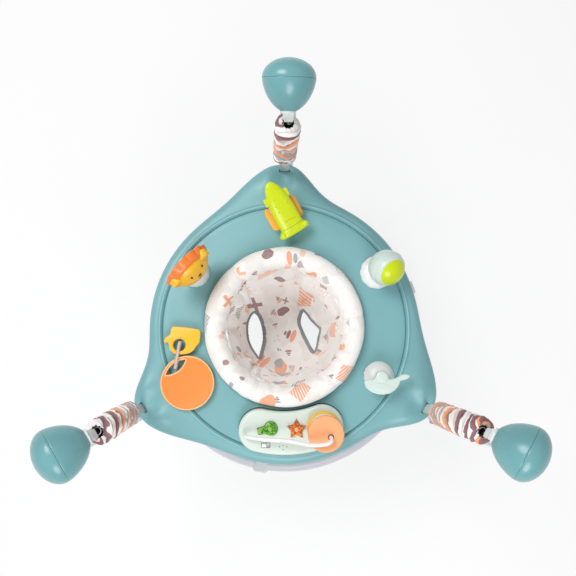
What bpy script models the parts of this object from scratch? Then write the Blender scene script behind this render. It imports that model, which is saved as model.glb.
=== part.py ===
"""A baby activity jumper: a three-pointed play tray with a turning fabric seat, hung by three sprung
straps from caps on posts that stand in a round floor frame. Metres, +Z up, the floor at z = 0."""

import math

import bmesh
import bpy
from mathutils import Matrix, Vector

# Place of the seat axis, measured from the middle of the whole object's floor plan
AXIS_X = -0.0112
AXIS_Y = -0.0200

# Running clearance between pieces that touch
GAP = 0.0003

# Legs: name, angle on the floor ring, angle of its cap, reach of its cap beyond the foot
LEGS = (
    ("rear", 90.0, 88.6, 0.0093),
    ("left", 210.0, 211.7, 0.0270),
    ("right", 330.0, 330.7, 0.0472),
)
SECTOR = math.radians(120.0)

# Floor ring
RING_R = 0.350
RING_TUBE_R = 0.016
RING_WALL = 0.0015
RING_Z = 0.026
RING_SPIGOT_WALL = 0.0019
RING_SPIGOT_LENGTH = 0.030
RING_SEAM_GAP = 0.0008
RING_STEP = 12.0
RING_STEPS = 10

# Leg sockets and the clip-on feet
SOCKET_R = RING_R + RING_TUBE_R
SOCKET_LENGTH = 0.088
SOCKET_WIDTH = 0.056
SOCKET_TOP = 0.048
CUP_WALL = 0.0055
CUP_TOP = 0.120
CUP_FLOOR = 0.0500
CLIP_LENGTH = 0.038
CLIP_WIDTH = 0.042
CLIP_TOP = 0.0465
CLIP_ANGLE = math.radians(10.2)
FOOT_FILLET = 0.006

# Posts and the two-part caps
POST_R = 0.0145
POST_WALL = 0.0012
POST_SET = 0.0040
POST_HEAD = 0.0100
CAP_Z = 0.756
CAP_R = 0.0430
CAP_OUTER = 0.0310
CAP_REACH = 0.0525
CAP_POWER = 1.6
CAP_MOUTH = 0.0490
CAP_MOUTH_WALL = 0.0034
CAP_WALL = 0.0028
CAP_LEAN = math.radians(22.0)
CAP_STEPS = 18

# Hanger under each cap, spring, sleeve and strap
COLLAR_R = 0.0125
COLLAR_LENGTH = 0.0040
NECK_R = 0.0050
NECK_BEND = 0.0100
NECK_END = 0.0160
HANGER_SET = 0.0491
HANGER_Z = 0.7040
SPRING_R = 0.0138
SPRING_WIRE_R = 0.0016
SPRING_TURNS = 5
SPRING_TURN_POINTS = 7
SPRING_END = 0.008
SLEEVE_WALL = 0.0028
SLEEVE_SIDES = 10
SLEEVE_GATHERS = 6
SLEEVE_GATHER_DEPTH = 0.0022
SLEEVE_BOTTOM = 0.476
SLEEVE_HEAD_GAP = 0.012
STRAP_WIDTH = 0.0200
STRAP_THICKNESS = 0.0018
STRAP_TOP = 0.487
STRAP_R = 0.3335

# Turning seat: the collar that runs in the tray's hole sets the sizes round it
SEAT_COLLAR_R = 0.1395
SEAT_COLLAR_WALL = 0.0050
SEAT_COLLAR_DEPTH = 0.0150
SEAT_RING_R = SEAT_COLLAR_R - 0.0095
HOLE_R = SEAT_COLLAR_R + SEAT_COLLAR_WALL + 0.0015
SEAT_FLANGE_R = HOLE_R + 0.0110
SEAT_FLANGE = 0.0035
RETAINER_DEPTH = 0.0050
RETAINER_FIT = 0.0022
RIM_R = SEAT_FLANGE_R + 0.0080
RIM_INNER_R = SEAT_RING_R - 0.0120
RIM_TOP = 0.4500
BUCKET_WALL = 0.0040
BUCKET_TOP_R = SEAT_RING_R - 0.0012
BUCKET_BOTTOM = 0.2120
BUCKET_FULLNESS = 0.30
LEG_HOLE_LENGTH = 0.1280
LEG_HOLE_WIDTH = 0.0440
LEG_HOLES = (
    ("left", -0.0670, -0.0090, 6.0),
    ("right", 0.0575, 0.0010, 13.0),
)

# Tray: a track for the turning seat, a groove and a ridge round the deck, and a brim with three tips
DECK_Z = 0.415
TRAY_WALL = 0.003
TRAY_STEPS = 8
TRACK_DEPTH = 0.0010
TRACK_R = RIM_R + 0.0020
RIDGE_R = 0.2585
RIDGE_WIDTH = 0.0100
RIDGE_RISE = 0.0050
GROOVE_R = RIDGE_R - 0.0065
GROOVE_WIDTH = 0.0024
GROOVE_DEPTH = 0.0014
EDGE_SIDE_R = 0.2820
EDGE_TIP_R = STRAP_R + 0.0185
TIP_SPREAD_AHEAD = math.radians(19.0)
TIP_SPREAD_BEHIND = math.radians(12.4)
EDGE_SIDE_Z = 0.3970
EDGE_TIP_Z = 0.3900
SKIRT_Z = 0.3680
CHANNEL_DEPTH = 0.0080
CHANNEL_WIDTH = 0.0170
LOBE_RISE = 0.0060
LOBE_OFFSET = 0.0360
LOBE_WIDTH = 0.0180
LOBE_START_R = 0.2780
LOBE_FULL_R = 0.3150
SLOT_WIDTH = 0.0240
SLOT_DEPTH = 0.0060
UNDER_WALL = 0.003
UNDER_Z = 0.3700
UNDER_R = HOLE_R + 0.0065
UNDER_LIP = 0.010
UNDER_FIT = 0.0016

# Rocket at the rear
ROCKET_TAIL = (0.0225, 0.1940, 0.4430)
ROCKET_HEADING = math.radians(122.0)
ROCKET_LEAN = math.radians(28.0)
ROCKET_LENGTH = 0.1170
ROCKET_WIDTH = 0.0500
ROCKET_TAIL_WIDTH = 0.0680
ROCKET_HEIGHT = 0.0250
ROCKET_PIVOT = 0.0620
ROCKET_PIN_R = 0.0030
ROCKET_LUG_R = 0.0080
ROCKET_LUG_WIDTH = 0.0120
ROCKET_LUG_DROP = 0.0110
ROCKET_EAR_WIDTH = 0.0040
FIN_SPAN = 0.0720
FIN_THICKNESS = 0.0050

# Lion at the left
LION_BASE = (-0.1870, 0.1120)
LION_BASE_R = 0.0310
LION_BASE_TOP = 0.4460
LION_HEADING = math.radians(-43.0)
LION_TILT = math.radians(2.0)
LION_CENTRE_Z = 0.5030
LION_BACK = 0.0020
MANE_R = 0.0490
MANE_SCALLOP = 0.0040
MANE_SCALLOPS = 14
MANE_THICKNESS = 0.0080
FACE_R = 0.0410
FACE_DEPTH = 0.0310
FACE_EDGE = 0.0030
EAR_R = 0.0115
EAR_THICKNESS = 0.0100
LION_STALK_R = 0.0070
LION_PIN_R = 0.0045

# Ball spinner at the right
BALL_CENTRE = (0.2050, 0.1150, 0.4720)
BALL_R = 0.0360
BALL_SPLIT = (0.45, -0.55, 0.70)
BALL_SPLIT_SET = 0.0220
BALL_BASE = (0.1930, 0.1130)
BALL_BASE_R = 0.0350
BALL_BASE_TOP = 0.4290
BALL_STALK_R = 0.0045

# Whale spinner at the right front
WHALE_CENTRE = (0.1945, -0.1020)
WHALE_BASE_R = 0.0310
WHALE_BASE_TOP = 0.4360
WHALE_Z = 0.4480
WHALE_THICKNESS = 0.0110
WHALE_PIN_R = 0.0040

# Elephant plate, ribbon link and teether disc at the left front
ELEPHANT_CENTRE = (-0.2085, -0.0300)
ELEPHANT_Z = 0.4243
ELEPHANT_THICKNESS = 0.0060
ELEPHANT_HOLE = (-0.0055, -0.0090)
ELEPHANT_HOLE_R = 0.0125
ELEPHANT_PEG_R = 0.0070
TEETHER_CENTRE = (-0.1965, -0.1155)
TEETHER_R = 0.0550
TEETHER_Z = DECK_Z + RIDGE_RISE + GAP
TEETHER_THICKNESS = 0.0090
HANDLE_SIZE = (0.0520, 0.0180)
HANDLE_SET = 0.72 * TEETHER_R
HANDLE_ANGLE = math.radians(128.0)
RIBBON_WIDTH = 0.0060
RIBBON_THICKNESS = 0.0014
RIBBON_CLEAR = 0.0010

# Console at the front: its places are measured across, and inward from the middle of its bean shape
CONSOLE_HALF_WIDTH = 0.0425
CONSOLE_R = RIM_R + 0.0070 + CONSOLE_HALF_WIDTH
CONSOLE_START = math.radians(-103.1)
CONSOLE_END = math.radians(-68.9)
CONSOLE_TOP = 0.4400
CONSOLE_FILLET = 0.0060
BUTTON_RISE = 0.0055
BUTTON_TRAVEL = 0.0020
BUTTON_SINK = 0.0080
BUTTON_FIT = 0.0005
BULB_HEAD = (-0.0262, 0.0100)
BULB_HEAD_R = 0.0135
BULB_BASE = (-0.0520, 0.0039)
BULB_NECK_R = 0.0070
STAR_CENTRE = (0.0253, 0.0085)
STAR_R = 0.0200
STAR_INNER_R = 0.0105
SWITCH_CENTRE = (-0.0391, -0.0230)
SWITCH_SIZE = (0.0100, 0.0080)
SWITCH_TRAVEL = 0.0060
SWITCH_RISE = 0.0020
SWITCH_SINK = 0.0040
DOOR_CENTRE = (0.0000, 0.0005)
DOOR_SIZE = (0.0640, 0.0340)
DOOR_THICKNESS = 0.0024
RAIL_LEFT = (-0.0780, -0.0025)
RAIL_RIGHT = (0.0925, -0.0045)
RAIL_WAY = (
    (*RAIL_LEFT, 0.0040),
    (-0.0700, -0.0050, 0.0150),
    (-0.0350, -0.0085, 0.0230),
    (0.0080, -0.0100, 0.0310),
    (0.0500, -0.0165, 0.0370),
    (0.0800, -0.0155, 0.0390),
    (0.0920, -0.0095, 0.0360),
    (*RAIL_RIGHT, 0.0270),
)
RAIL_R = 0.0040
RAIL_ROOT = 0.0060
BEAD_R = 0.0360
BEAD_THICKNESS = 0.0080
BEAD_HOLE_FIT = 0.0007
BEAD_SHIFT = (-0.0095, 0.0060)
BEAD_BACK_SHIFT = (-0.0135, 0.0170)
BEAD_BACK_R = 0.0330

PARTS = None
CUTTERS = None


# Scene, materials and helpers


def clear_scene():
    for obj in list(bpy.data.objects):
        bpy.data.objects.remove(obj, do_unlink=True)


def new_collection(name):
    collection = bpy.data.collections.new(name)
    bpy.context.scene.collection.children.link(collection)
    return collection


def make_material(name, colour, roughness, metallic=0.0):
    """A Principled material, coloured in linear values."""
    material = bpy.data.materials.new(name)
    material.use_nodes = True
    shader = material.node_tree.nodes["Principled BSDF"]
    shader.inputs["Base Color"].default_value = (*colour, 1.0)
    shader.inputs["Roughness"].default_value = roughness
    shader.inputs["Metallic"].default_value = metallic
    return material


def polar(radius, angle, z=0.0):
    return Vector((radius * math.cos(angle), radius * math.sin(angle), z))


def new_object(name, data, parent, material=None, collection=None):
    obj = bpy.data.objects.new(name, data)
    (collection or PARTS).objects.link(obj)
    obj.parent = parent
    if material is not None:
        data.materials.append(material)
    return obj


def empty(name, parent, location=(0, 0, 0), rotation=None):
    obj = new_object(name, None, parent)
    obj.empty_display_size = 0.03
    obj.location = location
    if rotation is not None:
        obj.rotation_euler = rotation.to_euler()
    return obj


def mesh_from(bm, name):
    bmesh.ops.recalc_face_normals(bm, faces=bm.faces)
    mesh = bpy.data.meshes.new(name)
    bm.to_mesh(mesh)
    bm.free()
    return mesh


def smooth(mesh, angle=35.0):
    mesh.shade_smooth()
    mesh.set_sharp_from_angle(angle=math.radians(angle))


def lofted(name, sections, parent, material, around=False):
    """A skin through sections of equally many points; around closes the last section on the first."""
    bm = bmesh.new()
    rows = [[bm.verts.new(point) for point in section] for section in sections]
    pairs = list(zip(rows, rows[1:] + rows[:1])) if around else list(zip(rows, rows[1:]))
    for row, following in pairs:
        for k in range(len(row)):
            n = (k + 1) % len(row)
            bm.faces.new((row[k], row[n], following[n], following[k]))
    if not around:
        bm.faces.new(rows[0])
        bm.faces.new(rows[-1])
    bmesh.ops.triangulate(bm, faces=bm.faces)
    mesh = mesh_from(bm, name)
    smooth(mesh)
    return new_object(name, mesh, parent, material)


def turned(name, profile, parent, material, steps=24, closed=False):
    """A profile of (radius, height) points turned about Z. It runs down the outer side, top to bottom."""
    bm = bmesh.new()
    verts = [bm.verts.new((r, 0.0, z)) for r, z in profile]
    for first, second in zip(verts, verts[1:]):
        bm.edges.new((first, second))
    if closed:
        bm.edges.new((verts[-1], verts[0]))
    mesh = bpy.data.meshes.new(name)
    bm.to_mesh(mesh)
    bm.free()
    obj = new_object(name, mesh, parent, material)
    screw = obj.modifiers.new("turn", "SCREW")
    screw.steps = steps
    screw.render_steps = steps
    screw.use_merge_vertices = True
    screw.merge_threshold = 0.00001
    screw.use_smooth_shade = True
    return obj


def tube(name, points, radius, parent, material, sides=8, collection=None, level=False):
    """A round bar along points; sides is even and at least 6. A level one keeps its facets upright."""
    curve = bpy.data.curves.new(name, "CURVE")
    curve.dimensions = "3D"
    curve.twist_mode = "Z_UP" if level else "MINIMUM"
    curve.bevel_depth = radius
    curve.bevel_resolution = sides // 2 - 2
    curve.use_fill_caps = True
    spline = curve.splines.new("POLY")
    spline.points.add(len(points) - 1)
    for spot, point in zip(spline.points, points):
        spot.co = (*point, 1.0)
    return new_object(name, curve, parent, material, collection)


def slab_mesh(name, outline, low, high):
    """A flat outline, drawn as a filled 2D curve, made a plate between two heights."""
    curve = bpy.data.curves.new(name, "CURVE")
    curve.dimensions = "2D"
    curve.fill_mode = "BOTH"
    curve.extrude = (high - low) / 2
    spline = curve.splines.new("POLY")
    spline.points.add(len(outline) - 1)
    for spot, (x, y) in zip(spline.points, outline):
        spot.co = (x, y, 0.0, 1.0)
    spline.use_cyclic_u = True
    holder = bpy.data.objects.new(name, curve)
    CUTTERS.objects.link(holder)
    bpy.context.view_layer.update()
    graph = bpy.context.evaluated_depsgraph_get()
    mesh = bpy.data.meshes.new_from_object(holder.evaluated_get(graph))
    bpy.data.objects.remove(holder, do_unlink=True)
    bpy.data.curves.remove(curve)
    bm = bmesh.new()
    bm.from_mesh(mesh)
    bmesh.ops.remove_doubles(bm, verts=bm.verts, dist=0.00001)
    bmesh.ops.translate(bm, verts=bm.verts, vec=(0, 0, (low + high) / 2))
    bmesh.ops.recalc_face_normals(bm, faces=bm.faces)
    bm.to_mesh(mesh)
    bm.free()
    return mesh


def slab(name, outline, low, high, parent, material, fillet=0.0, steps=2):
    mesh = slab_mesh(name, outline, low, high)
    smooth(mesh)
    obj = new_object(name, mesh, parent, material)
    if fillet:
        add_bevel(obj, fillet, steps)
    return obj


def add_bevel(obj, width, segments=2, angle=40.0):
    bevel = obj.modifiers.new("bevel", "BEVEL")
    bevel.width = width
    bevel.segments = segments
    bevel.limit_method = "ANGLE"
    bevel.angle_limit = math.radians(angle)
    return bevel


def box_mesh(name, size, centre=(0, 0, 0)):
    bm = bmesh.new()
    bmesh.ops.create_cube(bm, size=1.0)
    bmesh.ops.scale(bm, vec=size, verts=bm.verts)
    bmesh.ops.translate(bm, vec=centre, verts=bm.verts)
    return mesh_from(bm, name)


def box(name, size, centre, parent, material):
    return new_object(name, box_mesh(name, size, centre), parent, material)


def cylinder_mesh(name, radius, low, high, segments=24, top_radius=None):
    """A cylinder or cone about Z between two heights."""
    bm = bmesh.new()
    bmesh.ops.create_cone(
        bm,
        cap_ends=True,
        segments=segments,
        radius1=radius,
        radius2=radius if top_radius is None else top_radius,
        depth=high - low,
    )
    bmesh.ops.translate(bm, vec=(0, 0, (low + high) / 2), verts=bm.verts)
    return mesh_from(bm, name)


def helper(name, mesh, like, location=(0, 0, 0), rotation=None):
    """A cutter or a piece to be joined, placed in the space of the object it works on."""
    obj = bpy.data.objects.new(name, mesh)
    CUTTERS.objects.link(obj)
    obj.parent = like
    obj.location = location
    if rotation is not None:
        obj.rotation_euler = rotation.to_euler()
    obj.hide_render = True
    obj.display_type = "WIRE"
    return obj


def tube_helper(name, points, radius, like, sides=10, level=False):
    """A round bar as a mesh cutter, with its caps welded."""
    curve = tube(name, points, radius, None, None, sides, CUTTERS, level)
    bpy.context.view_layer.update()
    graph = bpy.context.evaluated_depsgraph_get()
    mesh = bpy.data.meshes.new_from_object(curve.evaluated_get(graph))
    data = curve.data
    bpy.data.objects.remove(curve, do_unlink=True)
    bpy.data.curves.remove(data)
    bm = bmesh.new()
    bm.from_mesh(mesh)
    bmesh.ops.remove_doubles(bm, verts=bm.verts, dist=0.00001)
    bmesh.ops.recalc_face_normals(bm, faces=bm.faces)
    bm.to_mesh(mesh)
    bm.free()
    return helper(name, mesh, like)


def tube_node(name, points, radius, parent, material, sides=10, level=False):
    """A round bar as a mesh object, so that it can be joined and cut."""
    piece = tube_helper(name, points, radius, parent, sides, level)
    mesh = piece.data
    bpy.data.objects.remove(piece, do_unlink=True)
    smooth(mesh)
    return new_object(name, mesh, parent, material)


def boolean(obj, other, operation):
    modifier = obj.modifiers.new(other.name, "BOOLEAN")
    modifier.operation = operation
    modifier.solver = "EXACT"
    modifier.object = other


def cut(obj, other):
    boolean(obj, other, "DIFFERENCE")


def join(obj, other):
    boolean(obj, other, "UNION")


def keep(obj, other):
    boolean(obj, other, "INTERSECT")


def facing(direction):
    """The rotation that turns +Z to a direction."""
    return Vector(direction).to_track_quat("Z", "Y")


# Leg geometry shared by several pieces


def cap_centre(leg):
    return polar(SOCKET_R + leg[3], math.radians(leg[2]), CAP_Z)


def cap_axis(leg):
    """Towards the narrow end of the cap: in to the seat, leaning down."""
    inward = -polar(1.0, math.radians(leg[2]))
    return inward * math.cos(CAP_LEAN) + Vector((0, 0, -math.sin(CAP_LEAN)))


def post_foot(leg):
    return polar(SOCKET_R, math.radians(leg[1]), CUP_FLOOR + GAP)


def post_head(leg):
    inward = -polar(1.0, math.radians(leg[2]))
    return cap_centre(leg) + inward * POST_SET + Vector((0, 0, POST_HEAD))


def cap_mouth(leg):
    return cap_centre(leg) + cap_axis(leg) * CAP_MOUTH


def hanger_tip(leg):
    return polar(SOCKET_R + leg[3] - HANGER_SET, math.radians(leg[2]), HANGER_Z)


def strap_top(leg):
    return polar(STRAP_R, math.radians(leg[1]), STRAP_TOP)


# Floor frame


def ring_points(angles, centre=0.0):
    """Points on the ring's centre line, at angles in degrees from a leg."""
    return [polar(RING_R, centre + math.radians(angle), RING_Z) for angle in angles]


def arc_end():
    return math.degrees(SECTOR / 2 - RING_SEAM_GAP / RING_R / 2)


def spigot_reach():
    return math.degrees(RING_SPIGOT_LENGTH / RING_R)


def arc_angles():
    """The arc's own turning points: bores along it use the same ones, so that the facets agree."""
    end = arc_end()
    reach = spigot_reach()
    steps = [RING_STEP * (k - RING_STEPS / 2) for k in range(1, RING_STEPS)]
    return [-end, reach / 2 - end, reach - end] + steps + [end - 0.8, end]


def make_ring_arc(leg, root, metal):
    """One third of the tubular floor ring, with a reduced end that enters the next arc."""
    middle = math.radians(leg[1])
    way = ring_points(arc_angles(), middle)
    arc = tube_node("ring_arc_" + leg[0], way, RING_TUBE_R, root, metal, 8, True)
    end = arc_end()
    reach = spigot_reach()
    inner_r = RING_TUBE_R - RING_WALL
    spigot_r = inner_r - 2 * GAP
    spigot = ring_points([end + share * reach for share in (-0.3, 0.0, 0.5, 1.0)], middle)
    join(arc, tube_helper("spigot_" + leg[0], spigot, spigot_r, arc, 8, True))
    hollow = ring_points([-0.3 * reach - end] + arc_angles()[:-2] + [end - 0.4 * reach], middle)
    cut(arc, tube_helper("ring_hollow_" + leg[0], hollow, inner_r, arc, 8, True))
    bore = ring_points([end + share * reach for share in (-0.5, 0.0, 0.5, 1.1)], middle)
    cut(arc, tube_helper("spigot_bore_" + leg[0], bore, spigot_r - RING_SPIGOT_WALL, arc, 8, True))


def make_socket(leg, root, plastic):
    """A moulded foot: a saddle over the ring with a leaning cup that takes the post."""
    angle = math.radians(leg[1])
    turn = Matrix.Rotation(angle, 3, "Z")
    middle = RING_R + (SOCKET_R - RING_R) / 2
    mesh = box_mesh("socket", (SOCKET_WIDTH, SOCKET_LENGTH, SOCKET_TOP), (middle, 0, SOCKET_TOP / 2))
    socket = new_object("leg_socket_" + leg[0], mesh, root, plastic)
    socket.rotation_euler = (0, 0, angle)
    add_bevel(socket, FOOT_FILLET, 1)
    local_foot = turn.transposed() @ post_foot(leg)
    local_way = turn.transposed() @ (post_head(leg) - post_foot(leg)).normalized()
    lean = facing(local_way)
    low = -(CUP_FLOOR - SOCKET_TOP) - 0.012
    cup_r = POST_R + CUP_WALL
    cup = cylinder_mesh("cup", cup_r + 0.003, low, CUP_TOP - CUP_FLOOR, 16, cup_r)
    join(socket, helper("cup_" + leg[0], cup, socket, local_foot, lean))
    bore = cylinder_mesh("cup_bore", POST_R + GAP, -GAP, CUP_TOP, 16)
    cut(socket, helper("cup_bore_" + leg[0], bore, socket, local_foot, lean))
    way = ring_points([RING_STEP * k for k in (-1, 0, 1)])
    cut(socket, tube_helper("ring_bore_" + leg[0], way, RING_TUBE_R + 2 * GAP, socket, 8, True))


def make_clip(leg, root, plastic):
    """A clip-on foot round the arc, just short of its joint."""
    angle = math.radians(leg[1]) + SECTOR / 2 - CLIP_ANGLE
    mesh = box_mesh("clip", (CLIP_WIDTH, CLIP_LENGTH, CLIP_TOP), (RING_R, 0, CLIP_TOP / 2))
    clip = new_object("ring_clip_" + leg[0], mesh, root, plastic)
    clip.rotation_euler = (0, 0, angle)
    add_bevel(clip, 0.005, 1)
    middle = math.degrees(SECTOR / 2 - CLIP_ANGLE)
    way = ring_points([step - middle for step in arc_angles()[-4:]])
    cut(clip, tube_helper("clip_bore_" + leg[0], way, RING_TUBE_R + 2 * GAP, clip, 8, True))


def make_post(leg, root, metal):
    foot = post_foot(leg)
    way = post_head(leg) - foot
    inner_r = POST_R - POST_WALL
    profile = [(POST_R, way.length), (POST_R, 0.0), (inner_r, 0.0), (inner_r, way.length)]
    post = turned("post_" + leg[0], profile, root, metal, 16, closed=True)
    post.location = foot
    post.rotation_euler = facing(way).to_euler()


# Caps


def cap_radius(depth):
    """Radius of the cap's inner half at a distance from its seam towards the mouth."""
    return CAP_R * math.sqrt(1 - (depth / CAP_REACH) ** CAP_POWER)


def dome(radius, height, steps):
    """A quarter of an ellipse from the pole to the seam."""
    arc = [math.radians(90 * k / steps) for k in range(steps + 1)]
    return [(radius * math.sin(angle), GAP / 2 + height * math.cos(angle)) for angle in arc]


def narrowing():
    """The closed wall of the inner half, from the seam to the mouth and back inside."""
    outside = [(cap_radius(CAP_MOUTH * share), share) for share in (0.0, 0.35, 0.65, 0.87, 1.0)]
    inside = [
        (cap_radius(CAP_MOUTH) - CAP_MOUTH_WALL, 1.0),
        (cap_radius(0.65 * CAP_MOUTH) - 1.3 * CAP_WALL, 0.65),
        (CAP_R - CAP_WALL, 0.0),
    ]
    return [(r, -GAP / 2 - (CAP_MOUTH - GAP / 2) * share) for r, share in outside + inside]


def make_cap(leg, root, plastic):
    """Two shells that meet at the widest place: the inner one takes the post and the hanger."""
    wall = dome(CAP_R, CAP_OUTER, 4) + dome(CAP_R - CAP_WALL, CAP_OUTER - CAP_WALL, 3)[::-1]
    outer = turned("cap_outer_" + leg[0], wall, root, plastic, CAP_STEPS)
    inner = turned("cap_inner_" + leg[0], narrowing(), root, plastic, CAP_STEPS, closed=True)
    for shell in (outer, inner):
        shell.location = cap_centre(leg)
        shell.rotation_euler = facing(-cap_axis(leg)).to_euler()
    bore = cylinder_mesh("cap_bore", POST_R + 2 * GAP, -0.2, 2 * GAP, 16)
    turn = facing(post_head(leg) - post_foot(leg))
    cut(inner, helper("cap_bore_" + leg[0], bore, root, post_head(leg), turn))


def make_hanger(leg, root, plastic):
    """The plug in the cap's mouth, its collar, and the bent neck that the spring hooks under."""
    plug_r = cap_radius(CAP_MOUTH) - CAP_MOUTH_WALL - 2 * GAP
    profile = [
        (0.0, 0.006),
        (plug_r - 0.002, 0.006),
        (plug_r, 0.004),
        (plug_r, -GAP),
        (COLLAR_R, -GAP),
        (COLLAR_R, -COLLAR_LENGTH),
        (0.0, -COLLAR_LENGTH),
    ]
    hanger = turned("hanger_" + leg[0], profile, root, plastic, 12)
    hanger.location = cap_mouth(leg)
    hanger.rotation_euler = facing(-cap_axis(leg)).to_euler()
    tip = hanger_tip(leg)
    start = cap_mouth(leg) + cap_axis(leg) * COLLAR_LENGTH / 2
    bend = cap_mouth(leg) + cap_axis(leg) * NECK_BEND
    end = tip + (tip - strap_top(leg)).normalized() * NECK_END
    way = [start]
    for share in (0.25, 0.5, 0.75, 1.0):
        way.append(start.lerp(bend, share).lerp(bend.lerp(end, share), share))
    join(hanger, tube_helper("neck_" + leg[0], way + [tip], NECK_R, root, 8))


# Springs, sleeves and straps


def spring_points(length):
    """A coil up the Z axis whose ends come in to the axis and run straight."""
    count = SPRING_TURNS * SPRING_TURN_POINTS
    points = [Vector((0, 0, 0)), Vector((0, 0, 2 * SPRING_WIRE_R))]
    coil = length - 2 * SPRING_END
    for k in range(count + 1):
        share = k / count
        angle = 2 * math.pi * SPRING_TURNS * share
        points.append(polar(SPRING_R, angle, SPRING_END + coil * share))
    points.append(Vector((0, 0, length - 2 * SPRING_WIRE_R)))
    points.append(Vector((0, 0, length)))
    return points


def least_self_gap(points):
    """Smallest clear distance between turns of the coil that aren't neighbours."""
    reach = SPRING_TURN_POINTS // 2
    least = 1.0
    for i, first in enumerate(points):
        for second in points[i + reach:]:
            least = min(least, (first - second).length - 2 * SPRING_WIRE_R)
    return least


def make_spring(leg, root, metal):
    low = strap_top(leg) + Vector((0, 0, GAP))
    way = hanger_tip(leg) - low
    length = way.length - GAP
    points = spring_points(length)
    print("least gap of spring", leg[0], "to itself, mm:", round(1000 * least_self_gap(points), 2))
    spring = tube("spring_" + leg[0], points, SPRING_WIRE_R, root, metal, 6)
    spring.location = low
    spring.rotation_euler = facing(way).to_euler()


def make_sleeve(leg, root, cloth):
    """A gathered fabric tube over the spring."""
    low = strap_top(leg)
    way = hanger_tip(leg) - low
    start = SLEEVE_BOTTOM - STRAP_TOP
    end = way.length - SLEEVE_HEAD_GAP
    bore = (SPRING_R + SPRING_WIRE_R) / math.cos(math.pi / SLEEVE_SIDES) + 0.0004
    middle = bore + SLEEVE_WALL
    steps = 2 * SLEEVE_GATHERS
    profile = [(bore, end), (middle - SLEEVE_GATHER_DEPTH, end)]
    for k in range(1, steps):
        swell = SLEEVE_GATHER_DEPTH if k % 2 else -SLEEVE_GATHER_DEPTH
        uneven = 0.0008 * math.sin(2.3 * k)
        along = (k + 0.25 * math.sin(1.7 * k)) / steps
        profile.append((middle + swell + uneven, end + (start - end) * along))
    profile += [(middle - SLEEVE_GATHER_DEPTH, start), (bore, start)]
    sleeve = turned("sleeve_" + leg[0], profile, root, cloth, SLEEVE_SIDES, closed=True)
    sleeve.location = low
    sleeve.rotation_euler = facing(way).to_euler()


def make_strap(leg, tray, webbing):
    """Webbing that runs from the spring down through the slot and under its bar."""
    angle = math.radians(leg[1])
    low = UNDER_Z + GAP
    size = (STRAP_THICKNESS, STRAP_WIDTH, STRAP_TOP - low)
    strap = box("strap_" + leg[0], size, (0, 0, (STRAP_TOP + low) / 2), tray, webbing)
    strap.location = polar(STRAP_R, angle)
    strap.rotation_euler = (0, 0, angle)


# Tray


def tip_offset(angle):
    """Signed angle to the nearest tip of the tray."""
    offsets = [math.remainder(angle - math.radians(leg[1]), 2 * math.pi) for leg in LEGS]
    return min(offsets, key=abs)


def tip_share(angle):
    """How far a place belongs to a tip, whose side ahead of the strap is the broader one."""
    offset = tip_offset(angle)
    spread = TIP_SPREAD_AHEAD if offset > 0 else TIP_SPREAD_BEHIND
    return math.exp(-((offset / spread) ** 2))


def edge_radius(angle):
    return EDGE_SIDE_R + (EDGE_TIP_R - EDGE_SIDE_R) * tip_share(angle)


def ramp(value, low, high):
    share = min(1.0, max(0.0, (value - low) / (high - low)))
    return share * share * (3 - 2 * share)


def brim_height(radius, angle):
    """Height of the brim outside the ridge: it falls to the edge, with lobes beside each strap channel."""
    share = tip_share(angle)
    start = RIDGE_R + RIDGE_WIDTH / 2
    end = edge_radius(angle)
    along = min(1.0, (radius - start) / (end - start))
    power = 2.0 + 1.6 * share
    low = EDGE_SIDE_Z + (EDGE_TIP_Z - EDGE_SIDE_Z) * share
    top = DECK_Z + RIDGE_RISE / 2
    height = low + (top - low) * (1 - along**power) ** (1 / power)
    across = abs(radius * math.sin(tip_offset(angle)))
    near = ramp(radius, LOBE_START_R, LOBE_FULL_R) * (1 - 0.6 * along**6)
    lobe = LOBE_RISE * math.exp(-(((across - LOBE_OFFSET) / LOBE_WIDTH) ** 2))
    channel = CHANNEL_DEPTH * math.exp(-((across / CHANNEL_WIDTH) ** 2))
    return height + near * (lobe - channel)


def tray_angles():
    """Angles round the tray that bunch towards its tips."""
    angles = []
    for leg in LEGS:
        for k in range(1 - TRAY_STEPS, TRAY_STEPS + 1):
            share = math.copysign(abs(k / TRAY_STEPS) ** 1.7, k)
            angles.append(math.radians(leg[1]) + SECTOR / 2 * share)
    return angles


def inset(before, point, after, wall):
    """The inner corner of a wall whose outer side turns at a point."""
    first = (Vector(point) - Vector(before)).normalized()
    second = (Vector(after) - Vector(point)).normalized()
    normal = Vector((first.y + second.y, -first.x - second.x)).normalized()
    depth = wall / max(0.5, normal.dot(Vector((first.y, -first.x))))
    return tuple(Vector(point) + normal * depth)


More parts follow.
